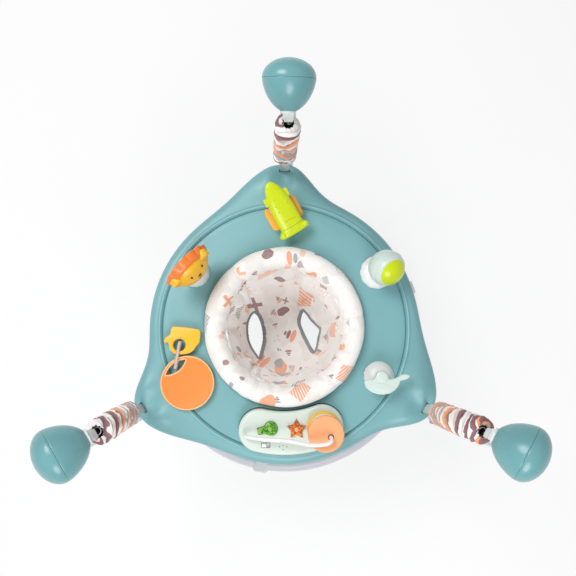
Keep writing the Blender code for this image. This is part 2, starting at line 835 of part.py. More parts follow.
def tray_section(angle):
    """The closed section of the tray's wall at one angle."""
    edge = edge_radius(angle)
    foot = RIDGE_R + RIDGE_WIDTH / 2
    half = GROOVE_WIDTH / 2
    top = DECK_Z + RIDGE_RISE
    section = [
        (HOLE_R, DECK_Z - TRACK_DEPTH),
        (TRACK_R, DECK_Z - TRACK_DEPTH),
        (TRACK_R + TRACK_DEPTH, DECK_Z),
        (GROOVE_R - half, DECK_Z),
        (GROOVE_R, DECK_Z - GROOVE_DEPTH),
        (GROOVE_R + half, DECK_Z),
        (RIDGE_R - 0.25 * RIDGE_WIDTH, top),
        (RIDGE_R + 0.20 * RIDGE_WIDTH, top),
        (foot, brim_height(foot, angle)),
    ]
    brim = [section[-1]]
    for share in (0.35, 0.68, 0.90, 1.0):
        radius = foot + (edge - foot) * share
        brim.append((radius, brim_height(radius, angle)))
    brim.append((edge, SKIRT_Z))
    section += brim[1:]
    section.append((edge - TRAY_WALL, SKIRT_Z))
    for k in (4, 3, 2):
        section.append(inset(brim[k - 1], brim[k], brim[k + 1], TRAY_WALL))
    section.append((foot, DECK_Z - TRAY_WALL))
    section.append((HOLE_R, DECK_Z - TRAY_WALL))
    return [polar(r, angle, z) for r, z in section]


def make_tray_top(tray, plastic):
    sections = [tray_section(angle) for angle in tray_angles()]
    top = lofted("tray_top", sections, tray, plastic, around=True)
    for leg in LEGS:
        slot = box_mesh("slot", (SLOT_DEPTH, SLOT_WIDTH, 0.08), (STRAP_R, 0, DECK_Z))
        turn = Matrix.Rotation(math.radians(leg[1]), 3, "Z")
        cut(top, helper("slot_" + leg[0], slot, top, rotation=turn))


def under_section(angle):
    """The closed section of the underside: a plate with an inner collar and an outer lip."""
    edge = edge_radius(angle) - TRAY_WALL - UNDER_FIT
    top = UNDER_Z + UNDER_WALL
    section = [
        (UNDER_R, UNDER_Z),
        (edge, UNDER_Z),
        (edge, top + UNDER_LIP),
        (edge - UNDER_WALL, top + UNDER_LIP),
        (edge - UNDER_WALL, top),
        (UNDER_R + UNDER_WALL, top),
        (UNDER_R + UNDER_WALL, DECK_Z - TRAY_WALL - GAP),
        (UNDER_R, DECK_Z - TRAY_WALL - GAP),
    ]
    return [polar(r, angle, z) for r, z in section]


def make_tray_underside(tray, plastic):
    """The lower moulding, with a slot for each strap."""
    sections = [under_section(angle) for angle in tray_angles()]
    under = lofted("tray_underside", sections, tray, plastic, around=True)
    for leg in LEGS:
        slot = box_mesh("under_slot", (SLOT_DEPTH, SLOT_WIDTH, 0.03), (STRAP_R, 0, UNDER_Z))
        turn = Matrix.Rotation(math.radians(leg[1]), 3, "Z")
        cut(under, helper("under_slot_" + leg[0], slot, under, rotation=turn))


# Turning seat


def make_seat_ring(seat, plastic):
    """The turning ring: a flange in the tray's track and a collar through its hole."""
    high = DECK_Z + GAP + SEAT_FLANGE
    low = DECK_Z - TRACK_DEPTH + GAP
    foot = DECK_Z + GAP - SEAT_COLLAR_DEPTH
    profile = [
        (SEAT_RING_R, high),
        (SEAT_FLANGE_R, high),
        (SEAT_FLANGE_R, low),
        (SEAT_COLLAR_R + SEAT_COLLAR_WALL, low),
        (SEAT_COLLAR_R + SEAT_COLLAR_WALL, foot),
        (SEAT_COLLAR_R, foot),
        (SEAT_COLLAR_R, low),
        (SEAT_RING_R, low),
    ]
    turned("seat_ring", profile, seat, plastic, 30, closed=True)


def make_retainer(seat, plastic):
    """A ring under the collar whose upstand catches below the tray's edge."""
    top = DECK_Z + GAP - SEAT_COLLAR_DEPTH - GAP
    wall_in = SEAT_COLLAR_R + SEAT_COLLAR_WALL + 2 * GAP
    wall_out = UNDER_R - RETAINER_FIT
    profile = [
        (wall_in, DECK_Z - TRAY_WALL - 2 * GAP),
        (wall_out, DECK_Z - TRAY_WALL - 2 * GAP),
        (wall_out, top - RETAINER_DEPTH),
        (SEAT_COLLAR_R, top - RETAINER_DEPTH),
        (SEAT_COLLAR_R, top),
        (wall_in, top),
    ]
    turned("seat_retainer", profile, seat, plastic, 30, closed=True)


def make_seat_rim(seat, cloth):
    """The padded rim: a crowned ring, drawn in where it meets the seat ring."""
    low = DECK_Z + GAP + SEAT_FLANGE + GAP
    middle = (RIM_R + RIM_INNER_R) / 2
    half = (RIM_R - RIM_INNER_R) / 2
    centre = low + 0.42 * (RIM_TOP - low)
    profile = []
    for k in range(9):
        angle = math.radians(90 - 40 * k)
        rise = RIM_TOP - centre if math.sin(angle) > 0 else centre - low
        square = 0.86
        x = math.copysign(abs(math.cos(angle)) ** square, math.cos(angle))
        z = math.copysign(abs(math.sin(angle)) ** square, math.sin(angle))
        profile.append((middle + half * x, centre + rise * z))
    turned("seat_rim", profile, seat, cloth, 28, closed=True)


def bucket_radius(z):
    """Outer radius of the fabric bucket at a height: full below the rim, round at the bottom."""
    share = (z - BUCKET_BOTTOM) / (DECK_Z + SEAT_FLANGE - BUCKET_BOTTOM)
    return BUCKET_TOP_R * share**BUCKET_FULLNESS


def make_bucket(seat, cloth):
    """The fabric sling seat, with an opening for each leg."""
    top = DECK_Z + SEAT_FLANGE
    heights = [top - (top - BUCKET_BOTTOM) * share for share in (0, 0.4, 0.70, 0.90, 0.98)]
    outside = [(bucket_radius(z), z) for z in heights] + [(0.0, BUCKET_BOTTOM)]
    inside = [(0.0, BUCKET_BOTTOM + BUCKET_WALL)]
    for z in reversed(heights):
        radius = max(0.001, bucket_radius(z) - BUCKET_WALL)
        rise = 0.7 * BUCKET_WALL if z < top else 0.0
        inside.append((radius, max(z, BUCKET_BOTTOM + BUCKET_WALL) + rise))
    bucket = turned("seat_bucket", outside + inside + [outside[0]], seat, cloth, 24)
    for side, x, y, turn in LEG_HOLES:
        mesh = cylinder_mesh("leg_hole", 0.5, BUCKET_BOTTOM - 0.05, BUCKET_BOTTOM + 0.12, 16)
        for vertex in mesh.vertices:
            vertex.co.x *= LEG_HOLE_WIDTH
            vertex.co.y *= LEG_HOLE_LENGTH
        spin = Matrix.Rotation(math.radians(turn), 3, "Z")
        cut(bucket, helper("leg_hole_" + side, mesh, bucket, (x, y, 0.0), spin))


# Toys


def relieve(base, tray):
    """Room under a toy's base for the tray's ridge, which it stands across."""
    inside = GROOVE_R - 0.001
    outside = RIDGE_R + 0.05
    high = DECK_Z + RIDGE_RISE + GAP
    profile = [(inside, high), (outside, high), (outside, 0.4), (inside, 0.4)]
    room = turned("ridge_room", profile, tray, None, 48, True)
    PARTS.objects.unlink(room)
    CUTTERS.objects.link(room)
    room.hide_render = True
    room.display_type = "WIRE"
    cut(base, room)


def make_rocket(tray, lime, amber, white):
    """A rocket on a rocking pivot between two ears of its base."""
    heading = Matrix.Rotation(ROCKET_HEADING, 4, "Z")
    lean = Matrix.Rotation(-ROCKET_LEAN, 4, "Y")
    frame = Matrix.Translation(ROCKET_TAIL) @ heading @ lean
    pivot_spot = frame @ Vector((ROCKET_PIVOT, 0, -ROCKET_HEIGHT / 2 - ROCKET_LUG_DROP))
    pivot = empty("rocket_pivot", tray, pivot_spot, (heading @ lean).to_3x3())

    def body_point(x, y, z):
        return (x - ROCKET_PIVOT, y, z + ROCKET_HEIGHT / 2 + ROCKET_LUG_DROP)

    sections = []
    for share in (0.0, 0.06, 0.14, 0.32, 0.52, 0.70, 0.84, 0.94, 1.0):
        blunt = 0.9 if share == 0.0 else 1.0
        if share < 0.14:
            width = ROCKET_TAIL_WIDTH * blunt * (1 - 1.2 * share)
        else:
            width = ROCKET_WIDTH * math.sqrt(max(0.03, 1 - max(0.0, (share - 0.3) / 0.71) ** 2.2))
        height = ROCKET_HEIGHT * blunt * math.sqrt(max(0.05, 1 - max(0.0, (share - 0.4) / 0.62) ** 2.4))
        ring = []
        for k in range(12):
            angle = 2 * math.pi * k / 12
            x = math.copysign(abs(math.cos(angle)) ** 0.7, math.cos(angle))
            z = math.copysign(abs(math.sin(angle)) ** 0.7, math.sin(angle))
            ring.append(body_point(ROCKET_LENGTH * share, width / 2 * x, height / 2 * z))
        sections.append(ring)
    body = lofted("rocket_body", sections, pivot, lime)
    tab_x = 0.70 * ROCKET_LENGTH - ROCKET_PIVOT
    tabs = box_mesh("tabs", (0.016, 0.054, 0.006), (tab_x, 0, ROCKET_HEIGHT / 2 + ROCKET_LUG_DROP))
    join(body, helper("rocket_tabs", tabs, body))
    lug = cylinder_mesh("lug", ROCKET_LUG_R, -ROCKET_LUG_WIDTH / 2, ROCKET_LUG_WIDTH / 2, 16)
    sideways = Matrix.Rotation(math.radians(90), 3, "X")
    web_size = (0.8 * ROCKET_LUG_R, ROCKET_LUG_WIDTH, ROCKET_LUG_DROP)
    web = box_mesh("web", web_size, (0, 0, ROCKET_LUG_DROP / 2 + 0.003))
    join(body, helper("rocket_web", web, body))
    join(body, helper("rocket_lug", lug, body, rotation=sideways))
    bore = cylinder_mesh("lug_bore", ROCKET_PIN_R + GAP, -0.02, 0.02, 16)
    cut(body, helper("rocket_lug_bore", bore, body, rotation=sideways))

    fin_low = ROCKET_LUG_DROP - GAP - FIN_THICKNESS
    start = 0.13 * ROCKET_LENGTH - ROCKET_PIVOT
    notch = -ROCKET_LUG_R - 0.004
    end = 0.58 * ROCKET_LENGTH - ROCKET_PIVOT
    half = FIN_SPAN / 2
    side = [
        (start, 0.55 * half), (start + 0.004, 0.92 * half), (start + 0.012, half),
        (end - 0.010, half), (end - 0.002, 0.92 * half), (end, 0.78 * half),
        (end - 0.003, 0.64 * half), (notch, 0.56 * half),
    ]
    outline = side + [(x, -y) for x, y in side[::-1]]
    slab("rocket_fins", outline, fin_low, fin_low + FIN_THICKNESS, pivot, amber, 0.0014, 1)

    base_low = DECK_Z + GAP
    ear_top = pivot_spot.z + ROCKET_LUG_R
    profile = [
        (0.0, base_low + 0.008), (0.016, base_low + 0.008), (0.021, base_low + 0.005),
        (0.022, base_low), (0.0, base_low),
    ]
    base = turned("rocket_base", profile, tray, white, 22)
    base.location = (pivot_spot.x, pivot_spot.y, 0)
    base.rotation_euler = (0, 0, ROCKET_HEADING)
    ear_y = ROCKET_LUG_WIDTH / 2 + 0.0005 + ROCKET_EAR_WIDTH / 2
    ear_foot = base_low + 0.004
    for side in (-1, 1):
        centre = (0, side * ear_y, (ear_top + ear_foot) / 2)
        ear = box_mesh("ear", (0.014, ROCKET_EAR_WIDTH, ear_top - ear_foot), centre)
        join(base, helper(f"rocket_ear_{side + 1}", ear, base))
    relieve(base, tray)
    pin = cylinder_mesh("pin", ROCKET_PIN_R, -ear_y, ear_y, 16)
    join(base, helper("rocket_pin", pin, base, (0, 0, pivot_spot.z), sideways))


def make_lion(tray, white, orange, yellow):
    """A lion's head that turns on a stub in front of a domed base."""
    base_low = DECK_Z + GAP
    normal = polar(math.cos(LION_TILT), LION_HEADING, math.sin(LION_TILT))
    centre = Vector((LION_BASE[0], LION_BASE[1], LION_CENTRE_Z)) - normal * LION_BACK
    dome_rise = LION_BASE_TOP - base_low
    profile = [(0.0, LION_BASE_TOP)]
    for k in range(1, 6):
        angle = math.radians(90 - 17 * k)
        rise = 0.003 + (dome_rise - 0.003) * math.sin(angle)
        profile.append((LION_BASE_R * math.cos(angle), base_low + rise))
    profile += [(LION_BASE_R, base_low), (0.0, base_low)]
    base = turned("lion_base", profile, tray, white, 18)
    base.location = (LION_BASE[0], LION_BASE[1], 0)
    turn = facing(normal)
    hub = centre - Vector((LION_BASE[0], LION_BASE[1], 0))
    behind = MANE_THICKNESS / 2 + 2 * GAP
    plan = Vector((normal.x, normal.y, 0)).normalized()
    stalk_top = hub - normal * (behind + LION_STALK_R)
    stalk_foot = Vector((stalk_top.x, stalk_top.y, base_low + 0.008)) - plan * 0.002
    stalk_way = [stalk_foot, stalk_top + Vector((0, 0, 0.004))]
    join(base, tube_helper("lion_stalk", stalk_way, LION_STALK_R, base, 10))
    stub = cylinder_mesh("stub", LION_PIN_R, -behind - LION_STALK_R, MANE_THICKNESS / 2 + 0.005, 12)
    join(base, helper("lion_stub", stub, base, hub, turn))

    spin = empty("lion_axis", tray, centre, turn.to_matrix())
    outline = []
    for k in range(MANE_SCALLOPS * 2):
        angle = math.pi * k / MANE_SCALLOPS
        radius = MANE_R + MANE_SCALLOP * abs(math.sin(MANE_SCALLOPS * angle / 2))
        outline.append(tuple(polar(radius, angle)[:2]))
    mane = slab("lion_mane", outline, -MANE_THICKNESS / 2, MANE_THICKNESS / 2, spin, orange, 0.0012, 1)
    cut(mane, helper("mane_bore", cylinder_mesh("mane_bore", LION_PIN_R + GAP, -0.02, 0.02, 12), mane))
    low = MANE_THICKNESS / 2 + GAP
    profile = [(0.0, low + FACE_DEPTH)]
    for k in range(1, 6):
        angle = math.radians(90 - 18 * k)
        bulge = FACE_EDGE + (FACE_DEPTH - FACE_EDGE) * math.sin(angle)
        profile.append((FACE_R * math.cos(angle), low + bulge))
    profile += [(FACE_R, low), (0.0, low)]
    face = turned("lion_face", profile, spin, yellow, 20)
    up = Vector((0, 0, 1))
    local_up = turn.to_matrix().transposed() @ (up - normal * up.dot(normal)).normalized()
    across = Vector((0, 0, 1)).cross(local_up)
    for side in (-1, 1):
        ear = cylinder_mesh("ear", EAR_R, low, low + EAR_THICKNESS, 12)
        spot = local_up * (0.50 * FACE_R) + across * (side * 0.86 * FACE_R)
        join(face, helper(f"lion_ear_{side + 1}", ear, face, spot))
    bore = cylinder_mesh("face_bore", LION_PIN_R + GAP, -0.02, low + 0.006, 12)
    cut(face, helper("face_bore", bore, face))


def ball_axis():
    foot = Vector((*BALL_BASE, BALL_BASE_TOP))
    return (Vector(BALL_CENTRE) - foot).normalized()


def make_ball_spinner(tray, white, mint, lime):
    """A ball of two colours that turns on a stalk over a scalloped base."""
    base_low = DECK_Z + GAP
    spot = Vector((BALL_BASE[0], BALL_BASE[1], 0))
    profile = [
        (0.0, BALL_BASE_TOP), (0.018, BALL_BASE_TOP), (BALL_BASE_R - 0.006, BALL_BASE_TOP - 0.003),
        (BALL_BASE_R - 0.002, base_low + 0.006), (BALL_BASE_R, base_low + 0.003),
        (BALL_BASE_R, base_low), (0.0, base_low),
    ]
    base = turned("ball_base", profile, tray, white, 20)
    base.location = spot
    centre = Vector(BALL_CENTRE)
    turn = facing(ball_axis())
    stalk = cylinder_mesh("stalk", BALL_STALK_R, BALL_BASE_TOP - 0.006 - BALL_CENTRE[2], -0.004, 16)
    join(base, helper("ball_stalk", stalk, base, centre - spot, turn))
    relieve(base, tray)

    spin = empty("ball_axis", tray, centre, turn.to_matrix())
    bm = bmesh.new()
    bmesh.ops.create_uvsphere(bm, u_segments=18, v_segments=10, radius=BALL_R)
    ball = mesh_from(bm, "ball")
    smooth(ball, 60)
    shell = new_object("ball_shell", ball, spin, mint)
    wedge = new_object("ball_wedge", ball.copy(), spin, None)
    wedge.data.materials.clear()
    wedge.data.materials.append(lime)
    side = facing(turn.inverted() @ Vector(BALL_SPLIT))
    reach = 2 * BALL_R
    block = box_mesh("split", (2 * reach, 2 * reach, reach), (0, 0, BALL_SPLIT_SET + GAP + reach / 2))
    keep(wedge, helper("wedge_keep", block, wedge, rotation=side))
    room = box_mesh("split_room", (2 * reach, 2 * reach, reach), (0, 0, BALL_SPLIT_SET + reach / 2))
    cut(shell, helper("wedge_cut", room, shell, rotation=side))
    bore = cylinder_mesh("ball_bore", BALL_STALK_R + GAP, -0.06, -0.004 + GAP, 16)
    cut(shell, helper("ball_bore", bore, shell))


def make_whale(tray, white, mint):
    """A whale-shaped plate that spins on a pin over a domed base."""
    base_low = DECK_Z + GAP
    profile = [
        (0.0, WHALE_BASE_TOP), (0.012, WHALE_BASE_TOP), (0.022, WHALE_BASE_TOP - 0.004),
        (WHALE_BASE_R - 0.001, base_low + 0.006), (WHALE_BASE_R, base_low + 0.003),
        (WHALE_BASE_R, base_low), (0.0, base_low),
    ]
    base = turned("whale_base", profile, tray, white, 20)
    base.location = (WHALE_CENTRE[0], WHALE_CENTRE[1], 0)
    pin_top = WHALE_Z + WHALE_THICKNESS - 0.003
    pin = cylinder_mesh("whale_pin", WHALE_PIN_R, WHALE_BASE_TOP - 0.004, pin_top, 16)
    join(base, helper("whale_pin", pin, base))
    spin = empty("whale_axis", tray, (WHALE_CENTRE[0], WHALE_CENTRE[1], WHALE_Z))
    outline = [
        (-0.0330, -0.0050), (-0.0340, -0.0120), (-0.0300, -0.0220), (-0.0180, -0.0310), (-0.0020, -0.0350),
        (0.0140, -0.0330), (0.0270, -0.0250), (0.0350, -0.0150), (0.0430, -0.0080), (0.0540, -0.0050),
        (0.0560, 0.0010), (0.0500, 0.0050), (0.0400, 0.0020), (0.0280, -0.0040), (0.0190, -0.0060),
        (0.0120, 0.0060), (0.0040, 0.0125), (-0.0060, 0.0125), (-0.0130, 0.0060), (-0.0180, -0.0060),
    ]
    body = slab("whale_body", outline, 0, WHALE_THICKNESS, spin, mint, 0.0025, 1)
    room = WHALE_THICKNESS - 0.003 + GAP
    cut(body, helper("whale_bore", cylinder_mesh("whale_bore", WHALE_PIN_R + GAP, -0.01, room, 16), body))


def elephant_hole_spot():
    return Vector((ELEPHANT_CENTRE[0] + ELEPHANT_HOLE[0], ELEPHANT_CENTRE[1] + ELEPHANT_HOLE[1], 0))


def make_elephant(tray, yellow):
    """An elephant plate on a peg, with a round eye for the ribbon."""
    outline = [
        (-0.0200, 0.0290), (0.0060, 0.0275), (0.0350, 0.0225), (0.0380, 0.0100), (0.0350, -0.0060),
        (0.0290, -0.0110), (0.0240, -0.0210), (0.0060, -0.0280), (-0.0150, -0.0280), (-0.0260, -0.0190),
        (-0.0270, -0.0060), (-0.0300, -0.0020), (-0.0340, -0.0050), (-0.0380, -0.0030), (-0.0340, 0.0060),
        (-0.0270, 0.0110), (-0.0240, 0.0170),
    ]
    high = ELEPHANT_Z + ELEPHANT_THICKNESS
    plate = slab("elephant", outline, ELEPHANT_Z, high, tray, yellow, 0.0015, 1)
    plate.location = (ELEPHANT_CENTRE[0], ELEPHANT_CENTRE[1], 0)
    peg = cylinder_mesh("peg", ELEPHANT_PEG_R, DECK_Z + GAP, ELEPHANT_Z + 0.002, 16)
    join(plate, helper("elephant_peg", peg, plate, (0.020, 0.010, 0)))
    eye = cylinder_mesh("eye", ELEPHANT_HOLE_R, ELEPHANT_Z - 0.01, ELEPHANT_Z + 0.02, 18)
    cut(plate, helper("elephant_eye", eye, plate, (ELEPHANT_HOLE[0], ELEPHANT_HOLE[1], 0)))


def lens_outline(length, width, count=8):
    """A pointed oval between two arcs."""
    radius = (length**2 / 4 + width**2 / 4) / width
    half = math.asin(length / 2 / radius)
    points = []
    for side in (1, -1):
        for k in range(count):
            angle = half * (1 - 2 * k / count)
            rise = radius * math.cos(angle) - radius + width / 2
            points.append((side * radius * math.sin(angle), side * rise))
    return points


def make_teether(tray, orange, beige):
    """An orange disc on a ribbon that loops through the elephant's eye."""
    eye = elephant_hole_spot()
    swing = empty("teether_pivot", tray, (eye.x, eye.y, 0))
    spot = Vector((TEETHER_CENTRE[0], TEETHER_CENTRE[1], 0)) - eye
    high = TEETHER_Z + TEETHER_THICKNESS
    profile = [
        (0.0, high - 0.0025), (0.7 * TEETHER_R, high - 0.0025), (0.91 * TEETHER_R, high),
        (0.97 * TEETHER_R, high), (TEETHER_R, high - 0.0035),
        (0.985 * TEETHER_R, TEETHER_Z + 0.001), (0.94 * TEETHER_R, TEETHER_Z), (0.0, TEETHER_Z),
    ]
    disc = turned("teether_disc", profile, swing, orange, 28)
    disc.location = spot
    lens = slab_mesh("handle", lens_outline(*HANDLE_SIZE), TEETHER_Z - 0.01, high + 0.01)
    off = polar(HANDLE_SET, HANDLE_ANGLE)
    turn = Matrix.Rotation(HANDLE_ANGLE + math.pi / 2, 3, "Z")
    cut(disc, helper("teether_handle", lens, disc, off, turn))

    hold = spot + off
    across = hold.normalized()
    side = Vector((-across.y, across.x, 0)) * RIBBON_WIDTH / 2
    over = max(ELEPHANT_Z + ELEPHANT_THICKNESS, high) + RIBBON_CLEAR
    under = min(ELEPHANT_Z, TEETHER_Z) - RIBBON_CLEAR
    near, far = -0.5 * ELEPHANT_HOLE_R, hold.length + 0.002
    route = (
        (near, over - 0.0012), (near + 0.003, over), (0.5 * far, over + 0.0008), (far - 0.003, over),
        (far, over - 0.0012), (far, under + 0.0012), (far - 0.003, under), (0.5 * far, under - 0.0004),
        (near + 0.003, under), (near, under + 0.0012),
    )
    bm = bmesh.new()
    rows = []
    for reach, z in route:
        point = across * reach + Vector((0, 0, z))
        rows.append((bm.verts.new(point - side), bm.verts.new(point + side)))
    for (a, b), (c, d) in zip(rows, rows[1:] + rows[:1]):
        bm.faces.new((a, b, d, c))
    ribbon = new_object("ribbon_link", mesh_from(bm, "ribbon"), swing, beige)
    thick = ribbon.modifiers.new("thickness", "SOLIDIFY")
    thick.thickness = RIBBON_THICKNESS
    thick.offset = 0.0


# Console


def console_outline(shrink=0.0):
    """A bean that follows the seat: a bent slot shape with round ends."""
    half = CONSOLE_HALF_WIDTH - shrink
    points = []
    steps = 6
    for k in range(steps + 1):
        angle = CONSOLE_START + (CONSOLE_END - CONSOLE_START) * k / steps
        points.append((CONSOLE_R + half, angle))
    outline = [tuple(polar(r, a)[:2]) for r, a in points]
    end = polar(CONSOLE_R, CONSOLE_END)
    turns = [math.pi * k / 8 for k in range(1, 8)]
    outline += [tuple((end + polar(half, CONSOLE_END + turn)).to_2d()) for turn in turns]
    for k in range(steps + 1):
        angle = CONSOLE_END + (CONSOLE_START - CONSOLE_END) * k / steps
        outline.append(tuple(polar(CONSOLE_R - half, angle)[:2]))
    start = polar(CONSOLE_R, CONSOLE_START)
    outline += [tuple((start - polar(half, CONSOLE_START + turn)).to_2d()) for turn in turns]
    return outline


def on_console(spot):
    """The tray's plan place of a console place."""
    return Vector((spot[0], spot[1] - CONSOLE_R))


def bulb_outline(grow=0.0):
    """A light bulb lying on its side: a round head and a straight neck."""
    head = on_console(BULB_HEAD)
    base = on_console(BULB_BASE)
    along = (base - head).normalized()
    across = Vector((-along.y, along.x))
    neck = BULB_NECK_R + grow
    radius = BULB_HEAD_R + grow
    meet = math.asin(neck / radius)
    facing_angle = math.atan2(along.y, along.x)
    points = []
    for k in range(17):
        angle = facing_angle + meet + (2 * math.pi - 2 * meet) * k / 16
        points.append(tuple(head + radius * Vector((math.cos(angle), math.sin(angle)))))
    end = base + along * grow
    points.append(tuple(end - across * neck * 0.9))
    points.append(tuple(end + across * neck * 0.9))
    return points


def star_outline(grow=0.0):
    """Five blunt points."""
    centre = on_console(STAR_CENTRE)
    points = []
    for k in range(5):
        tip = math.radians(90 + 72 * k)
        turns = ((STAR_R, tip - 0.09), (STAR_R, tip + 0.09), (STAR_INNER_R, tip + math.radians(36)))
        points += [tuple(centre + polar(radius + grow, angle).to_2d()) for radius, angle in turns]
    return points


def rectangle(size, centre):
    x, y = centre
    w, h = size[0] / 2, size[1] / 2
    return [(x - w, y - h), (x + w, y - h), (x + w, y + h), (x - w, y + h)]


def rail_points(share=3):
    """A smooth rod through the rail's turning points, with upright feet in the housing."""
    foot_z = CONSOLE_TOP - RAIL_ROOT + GAP
    spots = [Vector((x, y - CONSOLE_R, CONSOLE_TOP + rise)) for x, y, rise in RAIL_WAY]
    first, last = (Vector((*on_console(spot), foot_z)) for spot in (RAIL_LEFT, RAIL_RIGHT))
    spots = [first] + spots + [last]
    points = [spots[0]]
    for k in range(1, len(spots) - 2):
        for step in range(share):
            points.append(smooth_step(spots[k - 1:k + 3], step / share))
    return points + spots[-2:]


def smooth_step(four, share):
    """A point between the middle two of four, on a Catmull-Rom curve."""
    a, b, c, d = four
    line = 2 * b + (c - a) * share + (2 * a - 5 * b + 4 * c - d) * share**2
    return (line + (3 * b - a - 3 * c + d) * share**3) / 2


def make_console(tray, white, green, orange, peach, yellow):
    """The electronic toy: buttons, a switch, a speaker and a bead rail on a bean-shaped housing."""
    low = DECK_Z + GAP
    floor = CONSOLE_TOP - BUTTON_SINK
    outline = console_outline()
    housing = slab("console_housing", outline, low, CONSOLE_TOP, tray, white, CONSOLE_FILLET, 2)
    for name, outline in (("bulb", bulb_outline(BUTTON_FIT)), ("star", star_outline(BUTTON_FIT))):
        pocket = slab_mesh(name + "_pocket", outline, floor, CONSOLE_TOP + 0.01)
        cut(housing, helper(name + "_pocket", pocket, housing))
    run = (SWITCH_SIZE[0] + SWITCH_TRAVEL + 2 * BUTTON_FIT, SWITCH_SIZE[1] + 2 * BUTTON_FIT)
    knob = on_console(SWITCH_CENTRE)
    middle = knob + Vector((SWITCH_TRAVEL / 2, 0))
    switch_floor = CONSOLE_TOP - SWITCH_SINK
    slot = slab_mesh("switch_pocket", rectangle(run, middle), switch_floor, CONSOLE_TOP + 0.01)
    cut(housing, helper("switch_pocket", slot, housing))
    relieve(housing, tray)
    door = on_console(DOOR_CENTRE)
    opening = rectangle([size + 2 * BUTTON_FIT for size in DOOR_SIZE], door)
    room = slab_mesh("door_room", opening, low - 0.01, low + DOOR_THICKNESS + 2 * GAP)
    cut(housing, helper("door_room", room, housing))
    for name, spot in (("left", RAIL_LEFT), ("right", RAIL_RIGHT)):
        bore = cylinder_mesh("rail_bore", RAIL_R + GAP, CONSOLE_TOP - RAIL_ROOT, CONSOLE_TOP + 0.02, 16)
        cut(housing, helper("rail_bore_" + name, bore, housing, (*on_console(spot), 0)))

    travel_low = floor + BUTTON_TRAVEL + GAP
    slab("battery_door", rectangle(DOOR_SIZE, door), low + GAP, low + GAP + DOOR_THICKNESS, tray, white)
    high = CONSOLE_TOP + BUTTON_RISE
    slab("bulb_button", bulb_outline(), travel_low, high, tray, green, 0.0012, 1)
    slab("star_button", star_outline(), travel_low, high, tray, orange, 0.0012, 1)
    knob_top = CONSOLE_TOP + SWITCH_RISE
    slab("power_switch", rectangle(SWITCH_SIZE, knob), switch_floor + GAP, knob_top, tray, white, 0.0008, 1)
    tube("bead_rail", rail_points(), RAIL_R, tray, white, 8)

    lift = CONSOLE_TOP + BUTTON_RISE + GAP
    beads = (
        ("bead_yellow", BEAD_BACK_R, BEAD_BACK_SHIFT, lift, yellow),
        ("bead_peach", BEAD_R, BEAD_SHIFT, lift + BEAD_THICKNESS + GAP, peach),
    )
    for name, radius, shift, bottom, material in beads:
        spin = empty(name + "_axis", tray, (*on_console(RAIL_RIGHT), 0))
        top = bottom + BEAD_THICKNESS
        profile = [
            (0.0, top), (radius - 0.003, top), (radius - 0.0008, top - 0.0012),
            (radius, (top + bottom) / 2), (radius - 0.0008, bottom + 0.0012),
            (radius - 0.003, bottom), (0.0, bottom),
        ]
        bead = turned(name, profile, spin, material, 22)
        bead.location = (shift[0], shift[1], 0)
        bore = cylinder_mesh("bead_bore", RAIL_R + BEAD_HOLE_FIT, bottom - 0.01, top + 0.01, 16)
        cut(bead, helper(name + "_bore", bore, bead, (-shift[0], -shift[1], 0)))


def make_all():
    global PARTS, CUTTERS
    clear_scene()
    PARTS = new_collection("baby_activity_jumper")
    CUTTERS = new_collection("cutters")
    CUTTERS.hide_render = True

    teal = make_material("teal_plastic", (0.235, 0.495, 0.520), 0.42)
    cap_teal = make_material("cap_plastic", (0.180, 0.440, 0.470), 0.38)
    pale_tube = make_material("pale_tube", (0.700, 0.710, 0.750), 0.40)
    white = make_material("white_plastic", (0.840, 0.850, 0.835), 0.40)
    mint = make_material("mint_plastic", (0.650, 0.790, 0.720), 0.40)
    lime = make_material("lime_plastic", (0.660, 0.770, 0.020), 0.35)
    amber = make_material("amber_plastic", (0.930, 0.480, 0.040), 0.38)
    orange = make_material("orange_plastic", (0.960, 0.240, 0.060), 0.38)
    teether = make_material("teether_plastic", (1.000, 0.360, 0.090), 0.38)
    yellow = make_material("yellow_plastic", (0.960, 0.590, 0.060), 0.38)
    peach = make_material("peach_plastic", (0.960, 0.450, 0.200), 0.40)
    green = make_material("green_lens", (0.120, 0.400, 0.020), 0.15)
    amber_lens = make_material("amber_lens", (0.800, 0.220, 0.030), 0.15)
    seat_cloth = make_material("seat_cloth", (0.840, 0.810, 0.770), 0.90)
    sleeve_cloth = make_material("sleeve_cloth", (0.700, 0.450, 0.350), 0.90)
    webbing = make_material("webbing", (0.800, 0.810, 0.800), 0.85)
    ribbon = make_material("ribbon", (0.560, 0.440, 0.330), 0.85)
    steel = make_material("spring_steel", (0.060, 0.060, 0.065), 0.45, 0.6)

    root = empty("jumper", None, (AXIS_X, AXIS_Y, 0))
    tray = empty("tray_bounce", root)
    seat = empty("seat_spin", tray)

    for leg in LEGS:
        make_ring_arc(leg, root, pale_tube)
        make_socket(leg, root, white)
        make_clip(leg, root, white)
        make_post(leg, root, pale_tube)
        make_cap(leg, root, cap_teal)
        make_hanger(leg, root, white)
        make_spring(leg, root, steel)
        make_sleeve(leg, root, sleeve_cloth)
        make_strap(leg, tray, webbing)
    make_tray_top(tray, teal)
    make_tray_underside(tray, teal)
    make_seat_ring(seat, white)
    make_retainer(seat, white)
    make_seat_rim(seat, seat_cloth)
    make_bucket(seat, seat_cloth)
    make_rocket(tray, lime, amber, white)
    make_lion(tray, white, orange, yellow)
    make_ball_spinner(tray, white, mint, lime)
    make_whale(tray, white, mint)
    make_elephant(tray, yellow)
    make_teether(tray, teether, ribbon)
    make_console(tray, white, green, amber_lens, peach, yellow)


make_all()
